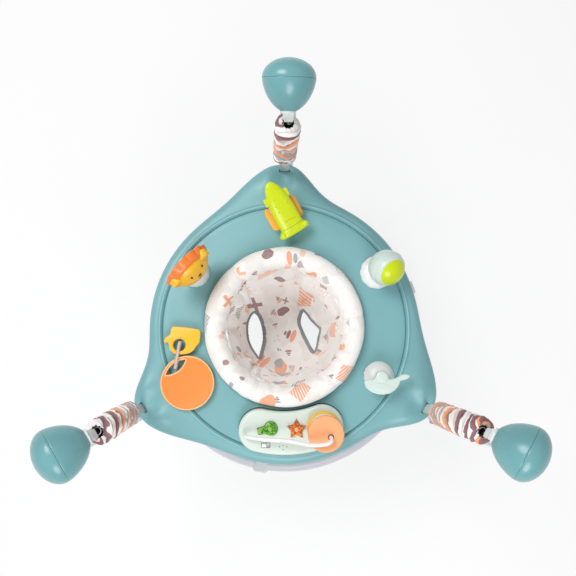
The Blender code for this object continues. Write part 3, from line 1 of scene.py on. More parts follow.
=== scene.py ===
"""Looks of the baby activity jumper: smooth mouldings, cloth seat, gathered sleeves, toys, materials and studio.

Rows given to mm() are in millimetres and all other lengths in metres. An angle is in degrees and a turn in radians.
"""

from math import acos, asin, atan2, copysign, cos, degrees, exp, floor, hypot, pi, radians, remainder, sin, sqrt

import bmesh
import bpy
from mathutils import Matrix, Vector, noise


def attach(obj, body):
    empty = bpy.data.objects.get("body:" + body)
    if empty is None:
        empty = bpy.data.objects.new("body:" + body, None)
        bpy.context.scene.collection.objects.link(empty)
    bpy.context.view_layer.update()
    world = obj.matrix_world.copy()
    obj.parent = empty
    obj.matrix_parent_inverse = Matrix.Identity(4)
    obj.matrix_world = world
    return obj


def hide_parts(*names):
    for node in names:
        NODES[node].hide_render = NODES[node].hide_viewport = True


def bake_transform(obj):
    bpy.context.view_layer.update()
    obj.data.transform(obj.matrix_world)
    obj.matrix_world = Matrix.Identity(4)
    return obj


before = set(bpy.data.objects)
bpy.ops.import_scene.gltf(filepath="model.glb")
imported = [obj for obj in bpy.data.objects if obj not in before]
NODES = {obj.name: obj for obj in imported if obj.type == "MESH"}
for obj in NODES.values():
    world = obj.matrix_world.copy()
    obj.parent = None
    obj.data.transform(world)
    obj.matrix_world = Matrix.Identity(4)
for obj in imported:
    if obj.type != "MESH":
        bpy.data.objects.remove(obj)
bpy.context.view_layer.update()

# The seat's axis in the row frame, and of each leg its angle, its cap's angle and the cap's reach past the foot
AXIS = Vector((-0.0112, -0.0200, 0.0))
UP = Vector((0, 0, 1))
LEGS = {"rear": (90.0, 88.6, 0.0093), "left": (210.0, 211.7, 0.0270), "right": (330.0, 330.7, 0.0472)}
DECK_Z = 0.4150
SHARP = 38.0
TINY = 0.00001

scene = bpy.context.scene
scene.view_settings.view_transform = "Standard"


def mm(*rows):
    return [tuple(round(value / 1000, 8) for value in row) for row in rows]


def span(low, high, steps):
    return [low + (high - low) * k / steps for k in range(steps + 1)]


def bell(value, width):
    return exp(-((value / width) ** 2))


def eased(value, low, high):
    share = min(1.0, max(0.0, (value - low) / (high - low)))
    return share * share * (3 - 2 * share)


def squarish(turn, power):
    """Cosine and sine of a turn, pushed out towards a square."""
    return [copysign(abs(f) ** power, f) for f in (cos(turn), sin(turn))]


def at(x, y, z=0.0):
    """A point given from the seat's axis."""
    return AXIS + Vector((x, y, z))


def outward(angle, radius=1.0):
    return Vector((radius * cos(radians(angle)), radius * sin(radians(angle)), 0.0))


def polar(radius, angle, z=0.0):
    return AXIS + outward(angle, radius) + UP * z


def spun(angle, axis="Z"):
    return Matrix.Rotation(radians(angle), 4, axis)


def linear(hex_colour):
    """A written colour as linear values."""
    values = [int(hex_colour[k:k + 2], 16) / 255 for k in (1, 3, 5)]
    return tuple(v / 12.92 if v <= 0.04045 else ((v + 0.055) / 1.055) ** 2.4 for v in values)


def shaded(colour, factor, lift=0.0):
    return tuple(min(1.0, c * factor + lift) for c in colour)


# Node graphs


def operation(name, swapped=False):
    def run(self, *others):
        return self.graph.math(name, *((*others, self) if swapped else (self, *others)))
    return run


class Value:
    """An output in a node graph, which takes plain operators."""

    def __init__(self, graph, socket):
        self.graph, self.socket = graph, socket

    def __getitem__(self, key):
        """Another output of the same node."""
        return Value(self.graph, self.socket.node.outputs[key])

    __add__, __mul__, __abs__ = operation("ADD"), operation("MULTIPLY"), operation("ABSOLUTE")
    __sub__, __rsub__ = operation("SUBTRACT"), operation("SUBTRACT", True)
    __lt__, __gt__ = operation("LESS_THAN"), operation("GREATER_THAN")
    sine, fraction = operation("SINE"), operation("FRACT")


class Graph:
    """A material's node tree, with short calls for what the materials here share."""

    def __init__(self, name):
        self.material = bpy.data.materials.new(name)
        self.material.use_nodes = True
        self.tree = self.material.node_tree
        self.shader = self.tree.nodes["Principled BSDF"]

    def node(self, kind, inputs=None, **settings):
        node = self.tree.nodes.new("ShaderNode" + kind)
        for key, value in settings.items():
            setattr(node, key, value)
        for key, value in (inputs or {}).items():
            self.feed(node.inputs[key], value)
        return Value(self, node.outputs[0])

    def feed(self, socket, value):
        if isinstance(value, Value):
            self.tree.links.new(value.socket, socket)
        elif socket.type == "RGBA" and len(value) == 3:
            socket.default_value = (*value, 1.0)
        else:
            socket.default_value = value

    def math(self, name, *values, clamp=False):
        return self.node("Math", dict(enumerate(values)), operation=name, use_clamp=clamp)

    def either(self, a, b):
        return self.math("MAXIMUM", a, b)

    def vector(self, name, *values):
        return self.node("VectorMath", dict(enumerate(values)), operation=name)

    def length(self, vector):
        return self.vector("LENGTH", vector)[1]

    def mix(self, factor, a, b):
        return self.node("Mix", {0: factor, 6: a, 7: b}, data_type="RGBA")[2]

    def ramp(self, factor, stops, constant=False):
        made = self.node("ValToRGB", {0: factor})
        ramp = made.socket.node.color_ramp
        ramp.interpolation = "CONSTANT" if constant else "LINEAR"
        while len(ramp.elements) < len(stops):
            ramp.elements.new(0.5)
        for element, (place, colour) in zip(ramp.elements, stops):
            element.position = place
            element.color = (*colour, 1.0)
        return made

    def noise(self, vector, scale, detail=2.0, roughness=0.5):
        return self.node("TexNoise", {"Vector": vector, "Scale": scale, "Detail": detail, "Roughness": roughness})

    def cells(self, vector, scale, randomness=1.0):
        return self.node("TexVoronoi", {"Vector": vector, "Scale": scale, "Randomness": randomness}, feature="F1")

    def coordinates(self, which="Object"):
        return self.node("TexCoord")[which]

    def bump(self, height, strength, distance, under=None):
        inputs = {"Height": height, "Strength": strength, "Distance": distance}
        return self.node("Bump", inputs if under is None else {**inputs, "Normal": under})

    def finish(self, **sockets):
        for key, value in sockets.items():
            self.feed(self.shader.inputs[key.replace("_", " ")], value)
        return self.material


def plastic(name, colour, roughness, mottle=0.03, edge_highlight=0.0, **more):
    """Moulded plastic: spark-eroded grain, slow colour drift, uneven polish and, where asked, a painted highlight that
    lightens the edges.
    """
    g = Graph(name)
    where = g.coordinates()
    base = linear(colour)
    tint = g.ramp(g.noise(where, 9.0, 3.0), [(0.3, shaded(base, 1 - mottle)), (0.7, shaded(base, 1 + mottle))])
    if edge_highlight:
        # Painted highlight: edges found by the bevel normal are lightened, standing in for light caught on rounded
        # edges
        bevel_normal = g.node("Bevel", {"Radius": 0.0012}, samples=4)
        edge = 1.0 - g.vector("DOT_PRODUCT", bevel_normal, g.node("NewGeometry")["Normal"])[1]
        tint = g.mix(g.math("MULTIPLY", edge, 6.0, clamp=True) * edge_highlight, tint, shaded(base, 1.25, 0.04))
    rough = g.noise(where, 55.0, 4.0, 0.6) * 0.10 + (roughness - 0.05)
    return g.finish(Base_Color=tint, Roughness=rough, Normal=g.bump(g.noise(where, 2600.0), 0.35, 0.00004), **more)


def painted_tube(name, colour):
    g = Graph(name)
    where = g.coordinates()
    base = linear(colour)
    tint = g.ramp(g.noise(where, 14.0), [(0.35, shaded(base, 0.96)), (0.65, base)])
    rough = g.noise(where, 70.0, 3.0) * 0.12 + 0.30
    return g.finish(Base_Color=tint, Roughness=rough, Normal=g.bump(g.noise(where, 900.0), 0.15, 0.0002))


def lens(name, dark, middle, glint):
    """Clear coloured plastic over a faceted reflector, with painted reflections: bright spots between deep, dark ones.
    """
    g = Graph(name)
    where = g.coordinates()
    # Painted reflection: the colour is bright at each facet's middle and dark towards its edges
    facets = g.cells(where, 330.0)["Distance"]
    depth = facets * 0.75 + g.noise(where, 150.0, 3.0, 0.6) * 0.55
    tint = g.ramp(depth, [(0.38, linear(glint)), (0.56, linear(middle)), (0.78, linear(dark))])
    uneven = g.bump(facets, 0.25, 0.0006)
    return g.finish(Base_Color=tint, Roughness=0.12, Normal=uneven, Coat_Weight=0.8, Coat_Roughness=0.05)


def weave_height(g, uv, pitch):
    """Over and under threads: two crossed waves of one pitch in metres."""
    place = g.node("SeparateXYZ", {0: uv})
    return (place[0] * (2 * pi / pitch)).sine() * (place[1] * (2 * pi / pitch)).sine()


def cloth(g, uv, colour, roughness, creases):
    """Woven cloth with slight fuzz over its bumps."""
    normal = g.bump(*creases, g.bump(weave_height(g, uv, 0.0009), 0.25, 0.00012))
    return g.finish(Base_Color=colour, Roughness=roughness, Normal=normal, Sheen_Weight=0.25, Sheen_Roughness=0.5)


CREAM, PEACH, MAUVE, GREY = map(linear, ("#F5F2EF", "#F3A377", "#94696D", "#A3A7AA"))
PALETTE = [(0.0, PEACH), (0.28, MAUVE), (0.58, GREY), (0.82, linear("#F6B48A"))]
MOTIF_CELL = 0.070
FOLD_PITCH = 0.0172
PEBBLES, STACKS = (-0.1, 0.32), (0.50, 0.76)


def motif_layer(g, uv, cell, shift, share):
    """Scattered motifs, one to a cell: pebbles, dot rings, plus signs, stacked stones, dots and hatched patches."""
    scaled = g.node("VectorMath", {0: uv, "Scale": 1 / cell}, operation="SCALE")
    moved = g.vector("ADD", scaled, (shift, shift * 0.7, 0.0))
    found = g.cells(moved, 1.0, 0.55)
    luck = g.node("SeparateColor", {0: found["Color"]})
    local = g.vector("SUBTRACT", moved, found["Position"])
    turned = g.node("VectorRotate", {"Vector": local, "Angle": luck * 6.283}, rotation_type="Z_AXIS")
    place = g.node("SeparateXYZ", {0: turned})
    x, y = place[0], place[1]
    ax, ay = abs(x), abs(y)
    wobble = (g.noise(moved, 2.4, 1.0) - 0.5) * 0.26

    def away(middle, squeeze=(1.0, 1.0)):
        """How far a place is from a middle, as a squeezed oval counts it."""
        off = g.vector("SUBTRACT", turned, (*middle, 0.0))
        return g.length(g.vector("MULTIPLY", off, (*squeeze, 1.0)))

    def is_kind(limits):
        return (luck[1] > limits[0]) * (luck[1] < limits[1])

    pebble = away((0.0, 0.0), (1.0, 1.4)) + wobble < 0.31
    second = (away((-0.20, -0.10)) + wobble < 0.17) * (luck[1] < PEBBLES[1])
    off_ring = g.length(turned) - 0.23
    across = ((g.math("ARCTAN2", y, x) * (8 / 6.2832)).fraction() - 0.5) * 0.18
    beads = off_ring * off_ring + across * across < 0.0026
    plus = (g.either(ax, ay) < 0.24) * (g.math("MINIMUM", ax, ay) < 0.055)
    stack = 0.0
    for height, wide, tall in ((-0.16, 0.25, 0.090), (0.015, 0.17, 0.070), (0.145, 0.085, 0.045)):
        stack = g.either(stack, away((0.0, height), (1 / wide, 1 / tall)) + wobble * 0.8 < 1.0)
    dots = (g.cells(moved, 9.0, 0.5)["Distance"] < 0.24) * (g.length(turned) < 0.34)
    block = (ax + wobble * 0.3 < 0.23) * (ay + wobble * 0.2 < 0.27)
    hatch = block * (abs(((x * 0.6 + y) * 11.0).fraction() - 0.5) < 0.36)
    mask = second
    for shape, limits in ((pebble, PEBBLES), (beads, (0.32, 0.42)), (plus, (0.42, 0.50)), (stack, STACKS),
                          (dots, (0.76, 0.84)), (hatch, (0.84, 1.1))):
        mask = g.either(mask, shape * is_kind(limits))
    shown = (luck[2] * 7.31).fraction() < share
    colour = g.ramp(luck[2], PALETTE, constant=True)
    other = g.ramp(luck[0], [(0.0, GREY), (0.4, MAUVE), (0.7, PEACH)], constant=True)
    over = g.either(second, (y < -0.07) * is_kind(STACKS))
    return mask * shown, g.mix(over, colour, other)


def printed_cloth(name):
    """Cream woven cloth with a generic print in two sizes of motif."""
    g = Graph(name)
    uv = g.coordinates("UV")
    colour = g.ramp(g.noise(uv, 34.0, 3.0), [(0.3, shaded(CREAM, 0.96)), (0.7, CREAM)])
    colour = g.mix((g.noise(uv, 22.0, 1.0) < 0.40) * 0.60, colour, linear("#E6E2DE"))
    for size, shift, share, strength in ((0.48, 3.7, 0.45, 0.90), (1.0, 0.0, 0.97, 0.98)):
        mask, ink = motif_layer(g, uv, MOTIF_CELL * size, shift, share)
        colour = g.mix(mask * (strength - g.noise(uv, 160.0) * 0.20), colour, ink)
    return cloth(g, uv, colour, 0.88, (g.noise(uv, 60.0, 3.0), 0.30, 0.0012))


def ruched_cloth(name, seed):
    """The sleeves' cloth: the print's colours drawn together into uneven bands by the elastic, with painted shade in
    the crease of each fold.
    """
    g = Graph(name)
    uv = g.coordinates("UV")
    down = g.node("SeparateXYZ", {0: uv})[1]
    along = down * 185.0 + (g.noise(g.coordinates(), 60.0, 2.0) * 1.6 + seed)
    bands = g.node("TexVoronoi", {"W": along, "Scale": 1.0}, voronoi_dimensions="1D", feature="F1")["Color"]
    colour = g.ramp(g.node("SeparateColor", {0: bands}),
                    [(0.0, CREAM), (0.30, PEACH), (0.50, MAUVE), (0.58, CREAM), (0.70, linear("#A6ACB4")),
                     (0.86, linear("#DDE1E6"))], constant=True)
    # Painted shade: the colour darkens towards the crease at each fold's edge
    fold = (down * (1 / FOLD_PITCH)).fraction()
    shade = g.either(1.0 - fold * 7.0, fold * 9.0 - 8.0) * 0.32
    colour = g.mix(g.math("MAXIMUM", shade, 0.0, clamp=True), colour, linear("#4A3E40"))
    return cloth(g, uv, colour, 0.85, (g.noise(g.coordinates(), 190.0, 3.0), 0.40, 0.0012))


def plain_cloth(name, colour, pitch, strength=0.5):
    """Webbing, ribbon or binding: one colour, a visible weave and slight fuzz."""
    g = Graph(name)
    uv = g.coordinates("UV")
    base = linear(colour)
    tone = g.ramp(g.noise(uv, 90.0, 3.0), [(0.3, shaded(base, 0.90)), (0.7, base)])
    threads = weave_height(g, uv, pitch)
    # Painted shade: the colour darkens by up to a fifth with the weave's height, standing in for light and shade on
    # the threads
    tone = g.mix((threads + 1.0) * 0.10, tone, shaded(base, 0.6))
    normal = g.bump(threads, strength, 0.0003)
    return g.finish(Base_Color=tone, Roughness=0.85, Normal=normal, Sheen_Weight=0.2, Sheen_Roughness=0.5)


def steel(name):
    g = Graph(name)
    where = g.coordinates()
    tone = g.ramp(g.noise(where, 200.0), [(0.3, (0.26, 0.26, 0.27)), (0.7, (0.38, 0.38, 0.39))])
    return g.finish(Base_Color=tone, Roughness=g.noise(where, 600.0) * 0.15 + 0.32, Metallic=0.9)


# Short name: maker, material name, and what the maker takes: for plastic colour, roughness, mottle and painted edge
# highlight
MAKERS = {
    "tray": (plastic, "tray_plastic", "#7BAFB4", 0.40, 0.02, 0.35),
    "cap": (plastic, "cap_plastic", "#6DA3A8", 0.26, 0.03, 0.25),
    "tube": (painted_tube, "pale_tube", "#DDDEE6"),
    "white": (plastic, "white_plastic", "#ECEEEC", 0.36, 0.02, 0.2),
    "clip": (plastic, "clip_plastic", "#E3E7E7", 0.40, 0.02, 0.2),
    "housing": (plastic, "housing_plastic", "#D6E1D8", 0.36, 0.02, 0.2),
    "mint": (plastic, "mint_plastic", "#D2E2DB", 0.34, 0.02),
    "lime": (plastic, "lime_plastic", "#CFE012", 0.26, 0.04, 0.4),
    # a darker copy of the lime: painted shade in the rocket's grooves
    "lime_deep": (plastic, "lime_groove", "#A9BA0C", 0.34, 0.04),
    "amber": (plastic, "amber_plastic", "#F6AE33", 0.34, 0.03, 0.4),
    "orange": (plastic, "orange_plastic", "#FA8438", 0.32, 0.05, 0.5),
    "teether": (plastic, "teether_plastic", "#FA8F3E", 0.38, 0.04),
    "yellow": (plastic, "yellow_plastic", "#F8BE2C", 0.32, 0.03, 0.4),
    "peach": (plastic, "peach_plastic", "#FBAE79", 0.38, 0.02, 0.2),
    "face": (plastic, "face_print", "#33231F", 0.30, 0.02),
    # a lighter copy of the teether's orange: painted highlight on its rims
    "rim_light": (plastic, "rim_light_plastic", "#FFC48A", 0.40, 0.02),
    "red": (plastic, "grommet_plastic", "#9C3A2B", 0.40, 0.03),
    # dark: painted shadow in the gap round the console's foot
    "dark": (plastic, "shadow_gap", "#2F5557", 0.70, 0.02),
    # groove and ridge: darker and lighter copies of the tray colour, a painted shadow in the groove and a painted
    # highlight on the ridge
    "groove": (plastic, "groove_shadow", "#4E8287", 0.60, 0.03),
    "ridge": (plastic, "ridge_light", "#92C4C8", 0.34, 0.03),
    # hole: dark grey painted shade, for the speaker holes and the switch pocket's edge
    "hole": (plastic, "speaker_hole", "#5A625F", 0.80, 0.02),
    "green_lens": (lens, "green_lens", "#2C7A08", "#5DA81A", "#A8DB4E"),
    "amber_lens": (lens, "amber_lens", "#B8480A", "#E27A22", "#F9AE62"),
    "green_pale": (plastic, "green_window", "#9BCB62", 0.20, 0.06),
    "amber_pale": (plastic, "amber_window", "#F6B582", 0.20, 0.06),
    "seat": (printed_cloth, "seat_cloth"),
    "binding": (plain_cloth, "binding_cloth", "#999D9F", 0.0010, 0.7),
    "webbing": (plain_cloth, "webbing", "#DCE4E2", 0.0016, 0.8),
    "ribbon": (plain_cloth, "ribbon", "#DDC9BC", 0.0010, 0.6),
    "thread": (plain_cloth, "thread", "#D9D4CE", 0.0006),
    "steel": (steel, "spring_steel"),
}
SOFT_PLASTIC = {"teether": {"Subsurface_Weight": 0.15, "Subsurface_Scale": 0.004}}
MATERIALS = {key: make(*values, **SOFT_PLASTIC.get(key, {})) for key, (make, *values) in MAKERS.items()}

# The record's slot of each material: its own name, but for these
SLOTS = {key: values[1] for key, values in MAKERS.items()}
SLOTS.update(dict.fromkeys(("clip", "housing", "face", "red", "dark", "groove", "ridge", "hole"), "white_plastic"))
SLOTS.update(lime_deep="lime_plastic", rim_light="teether_plastic", green_pale="green_lens", amber_pale="amber_lens",
             binding="seat_cloth", thread="seat_cloth")


# CAD pieces that keep their shape: welded, smooth across shallow edges, and with softened corners


def moulding_group():
    tree = bpy.data.node_groups.new("smooth_moulding", "GeometryNodeTree")
    for way in ("INPUT", "OUTPUT"):
        tree.interface.new_socket("Geometry", in_out=way, socket_type="NodeSocketGeometry")
    make = tree.nodes.new
    weld, forget = make("GeometryNodeMergeByDistance"), make("GeometryNodeRemoveAttribute")
    faces, edges = make("GeometryNodeSetShadeSmooth"), make("GeometryNodeSetShadeSmooth")
    angle, sharp = make("GeometryNodeInputMeshEdgeAngle"), make("FunctionNodeCompare")
    weld.inputs["Distance"].default_value = TINY
    forget.inputs["Name"].default_value = "custom_normal"
    edges.domain = "EDGE"
    edges.inputs["Shade Smooth"].default_value = False
    sharp.operation = "GREATER_THAN"
    sharp.inputs[1].default_value = radians(SHARP)
    steps = (make("NodeGroupInput"), weld, forget, faces, edges, make("NodeGroupOutput"))
    for first, second in zip(steps, steps[1:]):
        tree.links.new(first.outputs[0], second.inputs[0])
    tree.links.new(angle.outputs["Unsigned Angle"], sharp.inputs[0])
    tree.links.new(sharp.outputs[0], edges.inputs["Selection"])
    return tree


MOULDING = moulding_group()


def keep_cad(material, corner, *names):
    for name in names:
        obj = NODES[name]
        obj.data.materials.clear()
        obj.data.materials.append(MATERIALS[material])
        obj.modifiers.new("moulding", "NODES").node_group = MOULDING
        if corner:
            bevel = obj.modifiers.new("corners", "BEVEL")
            bevel.width = corner
            bevel.segments = 2
            bevel.angle_limit = radians(SHARP)
            bevel.harden_normals = True


keep_cad("white", 0.0, "seat_ring", "seat_retainer", "battery_door", "power_switch", "rocket_base", "lion_base")
keep_cad("tray", 0.0, "tray_underside")
keep_cad("white", 0.0012, *(f"leg_socket_{name}" for name in LEGS))
keep_cad("clip", 0.0012, *(f"ring_clip_{name}" for name in LEGS))


# Pieces and meshes


def dress(obj, material, body, *stands_for):
    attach(obj, body)
    if stands_for:
        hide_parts(*stands_for)


def add(name, data):
    obj = bpy.data.objects.new(name, data)
    scene.collection.objects.link(obj)
    return obj


def piece(name, mesh, material, body=None, *stands_for):
    """An object from one mesh or a list of them, dressed if its body is told."""
    if isinstance(mesh, list):
        mesh = joined(mesh)
    obj = add(name, mesh)
    mesh.materials.clear()
    mesh.materials.append(MATERIALS[material] if isinstance(material, str) else material)
    if body:
        dress(obj, material, body, *stands_for)
    return obj


def mesh_from(bm, angle=None, place=None):
    """The bmesh made a mesh: one with an angle is smooth but for edges above it."""
    bmesh.ops.recalc_face_normals(bm, faces=bm.faces)
    mesh = bpy.data.meshes.new("part")
    bm.to_mesh(mesh)
    bm.free()
    if angle is not None:
        mesh.shade_smooth()
        mesh.set_sharp_from_angle(angle=radians(angle))
    if place is not None:
        mesh.transform(place)
    return mesh


def grid(across, along, place, uv, wrap_along=False, pole=False, caps=False, angle=None):
    """A skin over place(i, j), closed across, with texture coordinates in metres from uv(i, j, face, row)."""
    bm = bmesh.new()
    layer = bm.loops.layers.uv.new("UVMap")
    rows = along if wrap_along else along + 1
    verts = [[bm.verts.new(place(i, j)) for i in range(across)] for j in range(rows - pole)]
    if pole:
        verts.append([bm.verts.new(place(0, along))] * across)
    for j in range(along):
        for i in range(across):
            corners = {}
            for a, b in ((i, j), (i + 1, j), (i + 1, j + 1), (i, j + 1)):
                corners.setdefault(verts[b % rows][a % across], (a, b))
            face = bm.faces.new(list(corners))
            face.smooth = True
            for loop, (a, b) in zip(face.loops, corners.values()):
                loop[layer].uv = uv(a, b, i, j)
    if caps:
        bm.faces.new(verts[0])
        bm.faces.new(verts[-1])
    mesh = mesh_from(bm)
    if angle is not None:
        mesh.set_sharp_from_angle(angle=radians(angle))
    return mesh


def evaluated(obj, **options):
    bpy.context.view_layer.update()
    graph = bpy.context.evaluated_depsgraph_get()
    return bpy.data.meshes.new_from_object(obj.evaluated_get(graph), **options, depsgraph=graph)


def baked(obj):
    """The object's modifiers made part of its mesh."""
    mesh = evaluated(obj, preserve_all_data_layers=True)
    obj.modifiers.clear()
    obj.data = mesh


def thicken(obj, thickness, offset=-1.0):
    skin = obj.modifiers.new("thickness", "SOLIDIFY")
    skin.thickness = thickness
    skin.offset = offset


def soften(points, radius, closed=True, steps=5):
    """A polyline with its corners rounded."""
    points = [Vector(p) for p in points]
    count = len(points)
    out = []
    for k, spot in enumerate(points):
        if not closed and k in (0, count - 1):
            out.append(spot)
            continue
        before, after = points[k - 1] - spot, points[(k + 1) % count] - spot
        a = spot + before.normalized() * min(radius, 0.45 * before.length)
        b = spot + after.normalized() * min(radius, 0.45 * after.length)
        out += [a.lerp(spot, t).lerp(spot.lerp(b, t), t) for t in span(0, 1, steps)]
    return out


def curve_through(points, per=6, closed=False):
    """Points on a smooth curve through the given ones."""
    points = [Vector(p) for p in points]
    count = len(points)
    out = []
    for k in range(count if closed else count - 1):
        a, b, c, d = (points[n % count if closed else min(count - 1, max(0, n))] for n in range(k - 1, k + 3))
        for t in span(0, 1, per)[:-1]:
            out.append((2 * b + (c - a) * t + (2 * a - 5 * b + 4 * c - d) * t**2 + (3 * b - a - 3 * c + d) * t**3) / 2)
    return out if closed else out + [points[-1]]


def lengths_along(points):
    """How far along a line each of its points lies."""
    out = [0.0]
    for a, b in zip(points, points[1:]):
        out.append(out[-1] + (b - a).length)
    return out


def box(x0, y0, x1, y1):
    return [(x0, y0), (x1, y0), (x1, y1), (x0, y1)]


def drum(radius, low, high, edge):
    """The half outline of a cylinder with rounded edges."""
    return soften([(0.0, high), (radius, high), (radius, low), (0.0, low)], edge, False)


def bow(wide, tall, angles, height=0.0):
    """Points of (radius, height) on an oval, by their angles from its top."""
    return [(wide * sin(radians(a)), height + tall * cos(radians(a))) for a in angles]


def lifted(points, z, place=Matrix()):
    return [place @ Vector((x, y, z)) for x, y in points]


def circle(radius, centre=(0, 0), count=48):
    turns = span(0, 2 * pi, count)[:-1]
    return [(centre[0] + radius * cos(turn), centre[1] + radius * sin(turn)) for turn in turns]


def placed(spot, direction=UP):
    return Matrix.Translation(spot) @ Vector(direction).to_track_quat("Z", "Y").to_matrix().to_4x4()


def lathe(profile, place, steps=72, angle=SHARP, ripple=lambda turn, h: 1):
    """A profile of (radius, height) points turned about the place's Z axis."""
    bm = bmesh.new()
    rings = []
    for r, h in profile:
        turns = span(0, 2 * pi, steps)[:-1] if r > TINY else [0.0]
        rings.append([bm.verts.new((r * ripple(t, h) * cos(t), r * ripple(t, h) * sin(t), h)) for t in turns])
    for low, high in zip(rings, rings[1:]):
        for k in range(steps):
            n = (k + 1) % steps
            corners = dict.fromkeys((low[k % len(low)], low[n % len(low)], high[n % len(high)], high[k % len(high)]))
            if len(corners) > 2:
                bm.faces.new(list(corners))
    return mesh_from(bm, angle, place)


def plate(outlines, low, high, edge, place=Matrix(), steps=4):
    """A plate with rounded edges from one outline, and holes from any further ones."""
    curve = bpy.data.curves.new("outlines", "CURVE")
    curve.dimensions = "2D"
    curve.fill_mode = "BOTH"
    curve.extrude = (high - low) / 2 - edge
    curve.bevel_depth = edge
    curve.bevel_resolution = steps
    curve.offset = -edge
    for outline in outlines:
        spline = curve.splines.new("POLY")
        spline.points.add(len(outline) - 1)
        for spot, p in zip(spline.points, outline):
            spot.co = (p[0], p[1], 0.0, 1.0)
        spline.use_cyclic_u = True
    holder = add("holder", curve)
    bm = bmesh.new()
    bm.from_mesh(evaluated(holder))
    bpy.data.objects.remove(holder, do_unlink=True)
    bmesh.ops.remove_doubles(bm, verts=bm.verts, dist=0.000002)
    bmesh.ops.translate(bm, verts=bm.verts, vec=(0, 0, (low + high) / 2))
    return mesh_from(bm, SHARP, place)


def flat_faced(obj):
    """Wide flat faces keep their own shading beside rounded edges."""
    obj.modifiers.new("flat_faces", "WEIGHTED_NORMAL").keep_sharp = True


def cut(obj, mesh):
    """A hole the shape of the mesh."""
    cutter = add("cutter", mesh)
    hole = obj.modifiers.new("hole", "BOOLEAN")
    hole.operation = "DIFFERENCE"
    hole.solver = "EXACT"
    hole.object = cutter
    baked(obj)
    bpy.data.objects.remove(cutter, do_unlink=True)
    obj.data.set_sharp_from_angle(angle=radians(SHARP))


def drill(obj, outline, low, high, place=Matrix()):
    cut(obj, plate([outline], low, high, TINY, place, 0))


def rod(points, radius, sides=16, closed=False):
    """A round bar along points, whose radius may change along it, with texture coordinates in metres."""
    points = [Vector(p) for p in points]
    count = len(points)
    lengths = lengths_along(points + points[:closed])
    frames = []
    side = None
    for k in range(count):
        before = points[(k - 1) % count] if closed or k else points[k]
        after = points[(k + 1) % count] if closed or k < count - 1 else points[k]
        way = (after - before).normalized()
        if side is None:
            side = way.cross(UP if abs(way.z) < 0.9 else Vector((1, 0, 0)))
        side = (side - way * side.dot(way)).normalized()
        frames.append((side, side.cross(way).normalized()))

    def place(i, j):
        flank, over = frames[j % count]
        turn = 2 * pi * i / sides
        wide = radius(j / count) if callable(radius) else radius
        return points[j % count] + wide * (cos(turn) * flank + sin(turn) * over)

    return grid(sides, count if closed else count - 1, place, lambda a, b, *face: (0.006 * a / sides, lengths[b]),
                closed, caps=not closed, angle=None if closed else 60.0)


def joined(meshes):
    bm = bmesh.new()
    for mesh in meshes:
        bm.from_mesh(mesh)
    mesh = bpy.data.meshes.new("parts")
    bm.to_mesh(mesh)
    bm.free()
    return mesh


def dome(spot, direction, wide, tall, steps=24):
    """A low round button on a surface."""
    profile = bow(wide, tall, range(0, 91, 15)) + [(wide, -tall), (0.0, -tall)]
    return lathe(profile, placed(spot, direction), steps)


def egg(spot, direction, wide, long, tall, spin=0.0):
    """A flattened bead on a surface, longer one way."""
    bm = bmesh.new()
    bmesh.ops.create_uvsphere(bm, u_segments=24, v_segments=14, radius=1.0)
    bmesh.ops.scale(bm, vec=(wide, long, tall), verts=bm.verts)
    return mesh_from(bm, SHARP, placed(spot, direction) @ Matrix.Rotation(spin, 4, "Z"))


# Floor ring, posts, caps and hangers

RING_R, RING_Z, RING_TUBE_R = 0.350, 0.026, 0.016
POST_R = 0.0145
CAP_R, CAP_Z = 0.0430, 0.756
CAP_LEAN = radians(22.0)
SOCKET_R = 0.3660
SOCKET_Z = 0.0503
STRAP_R, STRAP_TOP = 0.3335, 0.4870
HANGER_Z = 0.704


class Leg:
    """Places of one leg, its cap and its strap."""

    def __init__(self, name):
        self.floor, turn, reach = LEGS[name]
        inward = -outward(turn)
        self.cap = polar(SOCKET_R + reach, turn, CAP_Z)
        self.axis = inward * cos(CAP_LEAN) - UP * sin(CAP_LEAN)
        self.foot = polar(SOCKET_R, self.floor, SOCKET_Z)
        self.head = self.cap + inward * 0.004 + UP * 0.010
        self.mouth = self.cap + self.axis * 0.049
        self.tip = polar(SOCKET_R + reach - 0.0491, turn, HANGER_Z)
        self.strap = polar(STRAP_R, self.floor, STRAP_TOP)


def band(inner, outer, half, place):
    edge = soften(box(inner, -half, outer, half), 0.0008)
    return lathe([*edge, edge[0]], place, 48)


def flat_bar(way, broad, half, thick, power, steps, angle, uv, tapered=0.0):
    """A bar with a flat rounded section along a line, whose half width may shrink along it."""
    last = len(way) - 1

    def place(i, j):
        over = broad.cross(way[min(last, j + 1)] - way[max(0, j - 1)]).normalized()
        x, y = squarish(2 * pi * i / steps, power)
        return way[j] + broad * ((half - tapered * j / last) * x) + over * (thick * y)

    return grid(steps, last, place, uv, caps=True, angle=angle)


